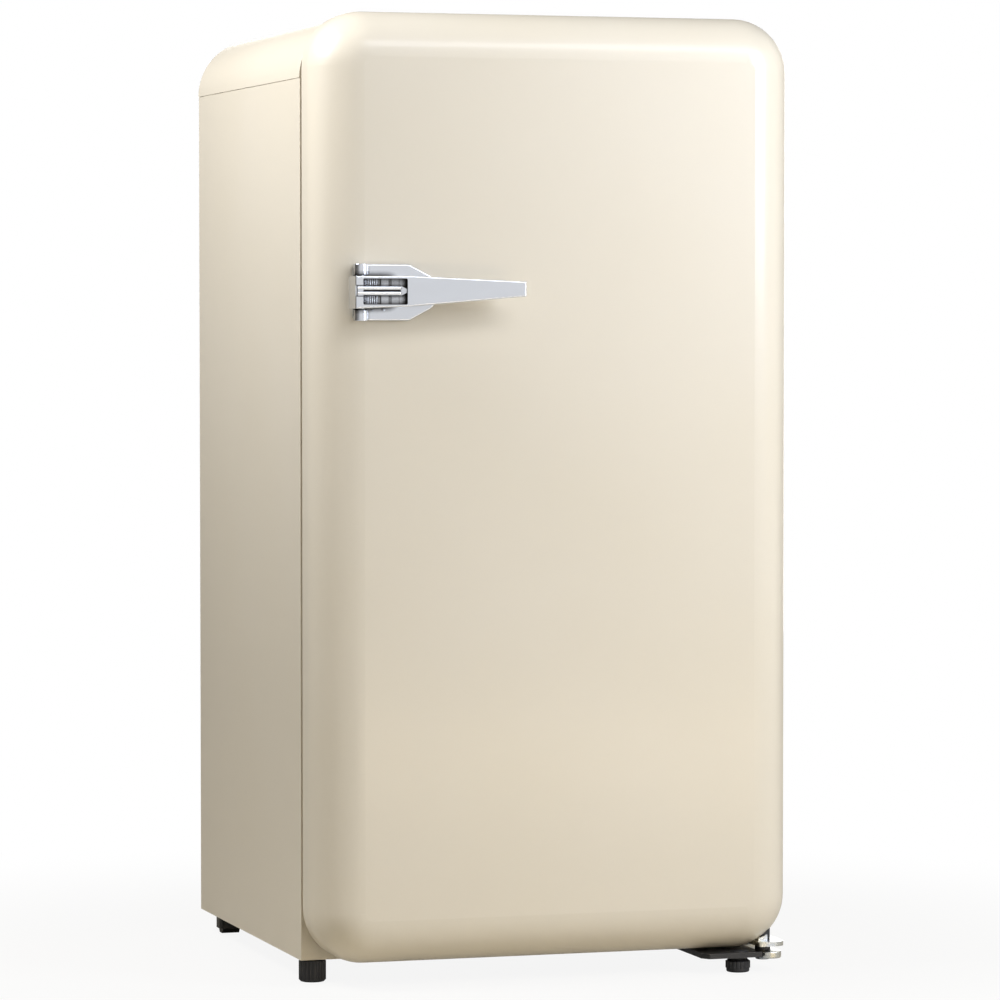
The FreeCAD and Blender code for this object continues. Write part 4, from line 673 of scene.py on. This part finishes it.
def soften(piece, width, segments, angle=30):
    """Rounds the edges with an applied bevel and shades the rest smooth."""
    bpy.ops.object.mode_set(mode="OBJECT")
    bevel = piece.modifiers.new("rounded_edges", "BEVEL")
    bevel.width = width
    bevel.segments = segments
    bevel.limit_method = "ANGLE"
    bevel.angle_limit = math.radians(angle)
    bpy.ops.object.modifier_apply(modifier=bevel.name)
    bpy.ops.object.shade_smooth_by_angle(angle=math.radians(40))


def hand_over(piece, finish, body):
    """Finish and body of a finished piece, and its size for the reader."""
    piece.data.materials.clear()
    piece.data.materials.append(finish)
    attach(piece, body)
    corners = [piece.matrix_world @ Vector(corner) for corner in piece.bound_box]
    size = [round((max(c[i] for c in corners) - min(c[i] for c in corners)) / MM, 1) for i in range(3)]
    print(piece.name, "size in mm", size, "faces", len(piece.data.polygons))


# %% [markdown]
# ## The door seal
# The real seal is one extruded PVC profile, cut into four lengths and welded at the corners: a foot
# that is pressed into the door, folds that let it give, and a broad face with a magnet strip inside
# that lies on the cabinet. It could be swept along a curve. Here it is modelled flat, as a plane with
# rounded corners and a hole, and pulled out towards the cabinet in five steps. Then the loops between
# the steps are pushed in or left standing, which makes the folds on both flanks at once.

# %% Foot of the seal
seal_low, seal_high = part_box("door_gasket")
seal_middle = (seal_low + seal_high) / 2
seal_size = seal_high - seal_low
SEAL_WIDTH = 18 * MM
SEAL_CORNER = 34 * MM
CORNER_STEPS = 14
bpy.ops.object.select_all(action="DESELECT")
bpy.ops.mesh.primitive_plane_add(size=1, location=(seal_middle.x, seal_low.y, seal_middle.z),
                                 rotation=(-math.pi / 2, 0, 0))
bpy.context.object.scale = (seal_size.x, seal_size.z, 1)
seal = start_piece("magnetic_door_seal")
bpy.ops.mesh.select_all(action="SELECT")
bpy.ops.mesh.bevel(offset=SEAL_CORNER, offset_type="OFFSET", segments=CORNER_STEPS, affect="VERTICES")
bpy.ops.mesh.select_all(action="SELECT")
bpy.ops.mesh.inset(thickness=SEAL_WIDTH, depth=0)
bpy.ops.mesh.delete(type="FACE")
print("seal outline", round(seal_size.x / MM), "x", round(seal_size.z / MM), "mm")

# %% Folds of the seal
STEPS_MM = (1.5, 1.1, 1.2, 1.1, 1.8)
PUSHES_MM = (-0.6, -3.2, -3.2, -0.2)
SAME_LEVEL = 0.1 * MM
depth = seal_low.y
fold_depths = []
bpy.ops.mesh.select_mode(type="FACE")
bpy.ops.mesh.select_all(action="SELECT")
for step in STEPS_MM:
    bpy.ops.mesh.extrude_region_move(TRANSFORM_OT_translate={"value": (0, step * MM, 0)})
    depth += step * MM
    fold_depths.append(depth)
for level, inward in zip(fold_depths[:4], PUSHES_MM):
    pick(seal, "verts", lambda v, at=level: abs(v.y - at) < SAME_LEVEL)
    bpy.ops.transform.shrink_fatten(value=inward * MM)
bpy.ops.mesh.select_all(action="SELECT")
bpy.ops.mesh.normals_make_consistent(inside=False)
print("seal pulled out to", round(depth / MM, 2), "of", round(seal_high.y / MM, 2))

# %% Finish the seal
soften(seal, 0.45 * MM, 2)
hand_over(seal, FINISH["seal_rubber"], "door")
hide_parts("door_gasket")

# %% [markdown]
# ## Scale round the thermostat knob
# The knob turns through 270 degrees, and the housing carries a printed scale from 0 to 6, one number
# every 45 degrees with a dot halfway. Numbers and dots are pad-printed in dark grey ink, which lies a
# few hundredths of a millimetre proud. Each number is a text that becomes a mesh, which is easier to
# read here than drawing its outline, and one dot is modelled and then copied.

# %% Printing ink
def printing_ink():
    material, tree, shader, place = blank("dark_grey_printing_ink")
    mottle = add(tree, "ShaderNodeTexNoise", {"Vector": place, "Scale": per_metre(0.7), "Detail": 2.0})
    tint = add(tree, "ShaderNodeMix", {0: mottle.outputs[0], 6: linear("#3A3D40"), 7: linear("#4B4F53")},
               data_type="RGBA")
    tree.links.new(tint.outputs[2], shader.inputs["Base Color"])
    rough = add(tree, "ShaderNodeMapRange", {0: mottle.outputs[0], 3: 0.45, 4: 0.6})
    tree.links.new(rough.outputs[0], shader.inputs["Roughness"])
    return material


INK = printing_ink()

# %% Numbers of the scale
knob_low, knob_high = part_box("thermostat_knob")
knob_middle = (knob_low + knob_high) / 2
housing_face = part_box("control_housing")[0].x
INK_HEIGHT = 0.06 * MM
NUMBER_RADIUS = 25.5 * MM
NUMBER_SIZE = 6 * MM
NUMBER_GAP = 45
numbers = []
for number in range(7):
    turn = math.radians(NUMBER_GAP * (number - 3))
    y = knob_middle.y - NUMBER_RADIUS * math.sin(turn)
    z = knob_middle.z + NUMBER_RADIUS * math.cos(turn)
    bpy.ops.object.select_all(action="DESELECT")
    bpy.ops.object.text_add(location=(housing_face, y, z), rotation=(math.pi / 2, 0, -math.pi / 2))
    text = bpy.context.object
    text.data.body = str(number)
    text.data.size = NUMBER_SIZE
    text.data.align_x = "CENTER"
    text.data.align_y = "CENTER"
    text.data.extrude = INK_HEIGHT
    bpy.ops.object.convert(target="MESH")
    bpy.ops.object.transform_apply(location=True, rotation=True, scale=True)
    numbers.append(bpy.context.object)
print("numbers", len(numbers), "at radius", NUMBER_RADIUS / MM, "mm")

# %% One dot, copied between the numbers
DOT_RADIUS = 0.7 * MM
bpy.ops.object.select_all(action="DESELECT")
bpy.ops.mesh.primitive_cylinder_add(vertices=20, radius=DOT_RADIUS, depth=2 * INK_HEIGHT,
                                    location=(housing_face, knob_middle.y, knob_middle.z + NUMBER_RADIUS),
                                    rotation=(0, math.pi / 2, 0))
dot = start_piece("scale_dot")
pick(dot, "faces", lambda f: f.x < housing_face - 0.5 * INK_HEIGHT)
bpy.ops.mesh.inset(thickness=0.15 * MM, depth=0.01 * MM)
bpy.ops.object.mode_set(mode="OBJECT")
dots = []
for gap in range(6):
    turn = math.radians(NUMBER_GAP * (gap - 2.5))
    copy = dot.copy()
    copy.data = dot.data.copy()
    scene.collection.objects.link(copy)
    offset = Vector((0, -NUMBER_RADIUS * math.sin(turn), NUMBER_RADIUS * (math.cos(turn) - 1)))
    for vertex in copy.data.vertices:
        vertex.co += offset
    dots.append(copy)
bpy.data.objects.remove(dot)

# %% Join the print into one piece
bpy.ops.object.select_all(action="DESELECT")
for item in numbers + dots:
    item.select_set(True)
bpy.context.view_layer.objects.active = numbers[0]
bpy.ops.object.join()
scale_print = bpy.context.object
scale_print.name = "thermostat_scale_print"
hand_over(scale_print, INK, "cabinet")
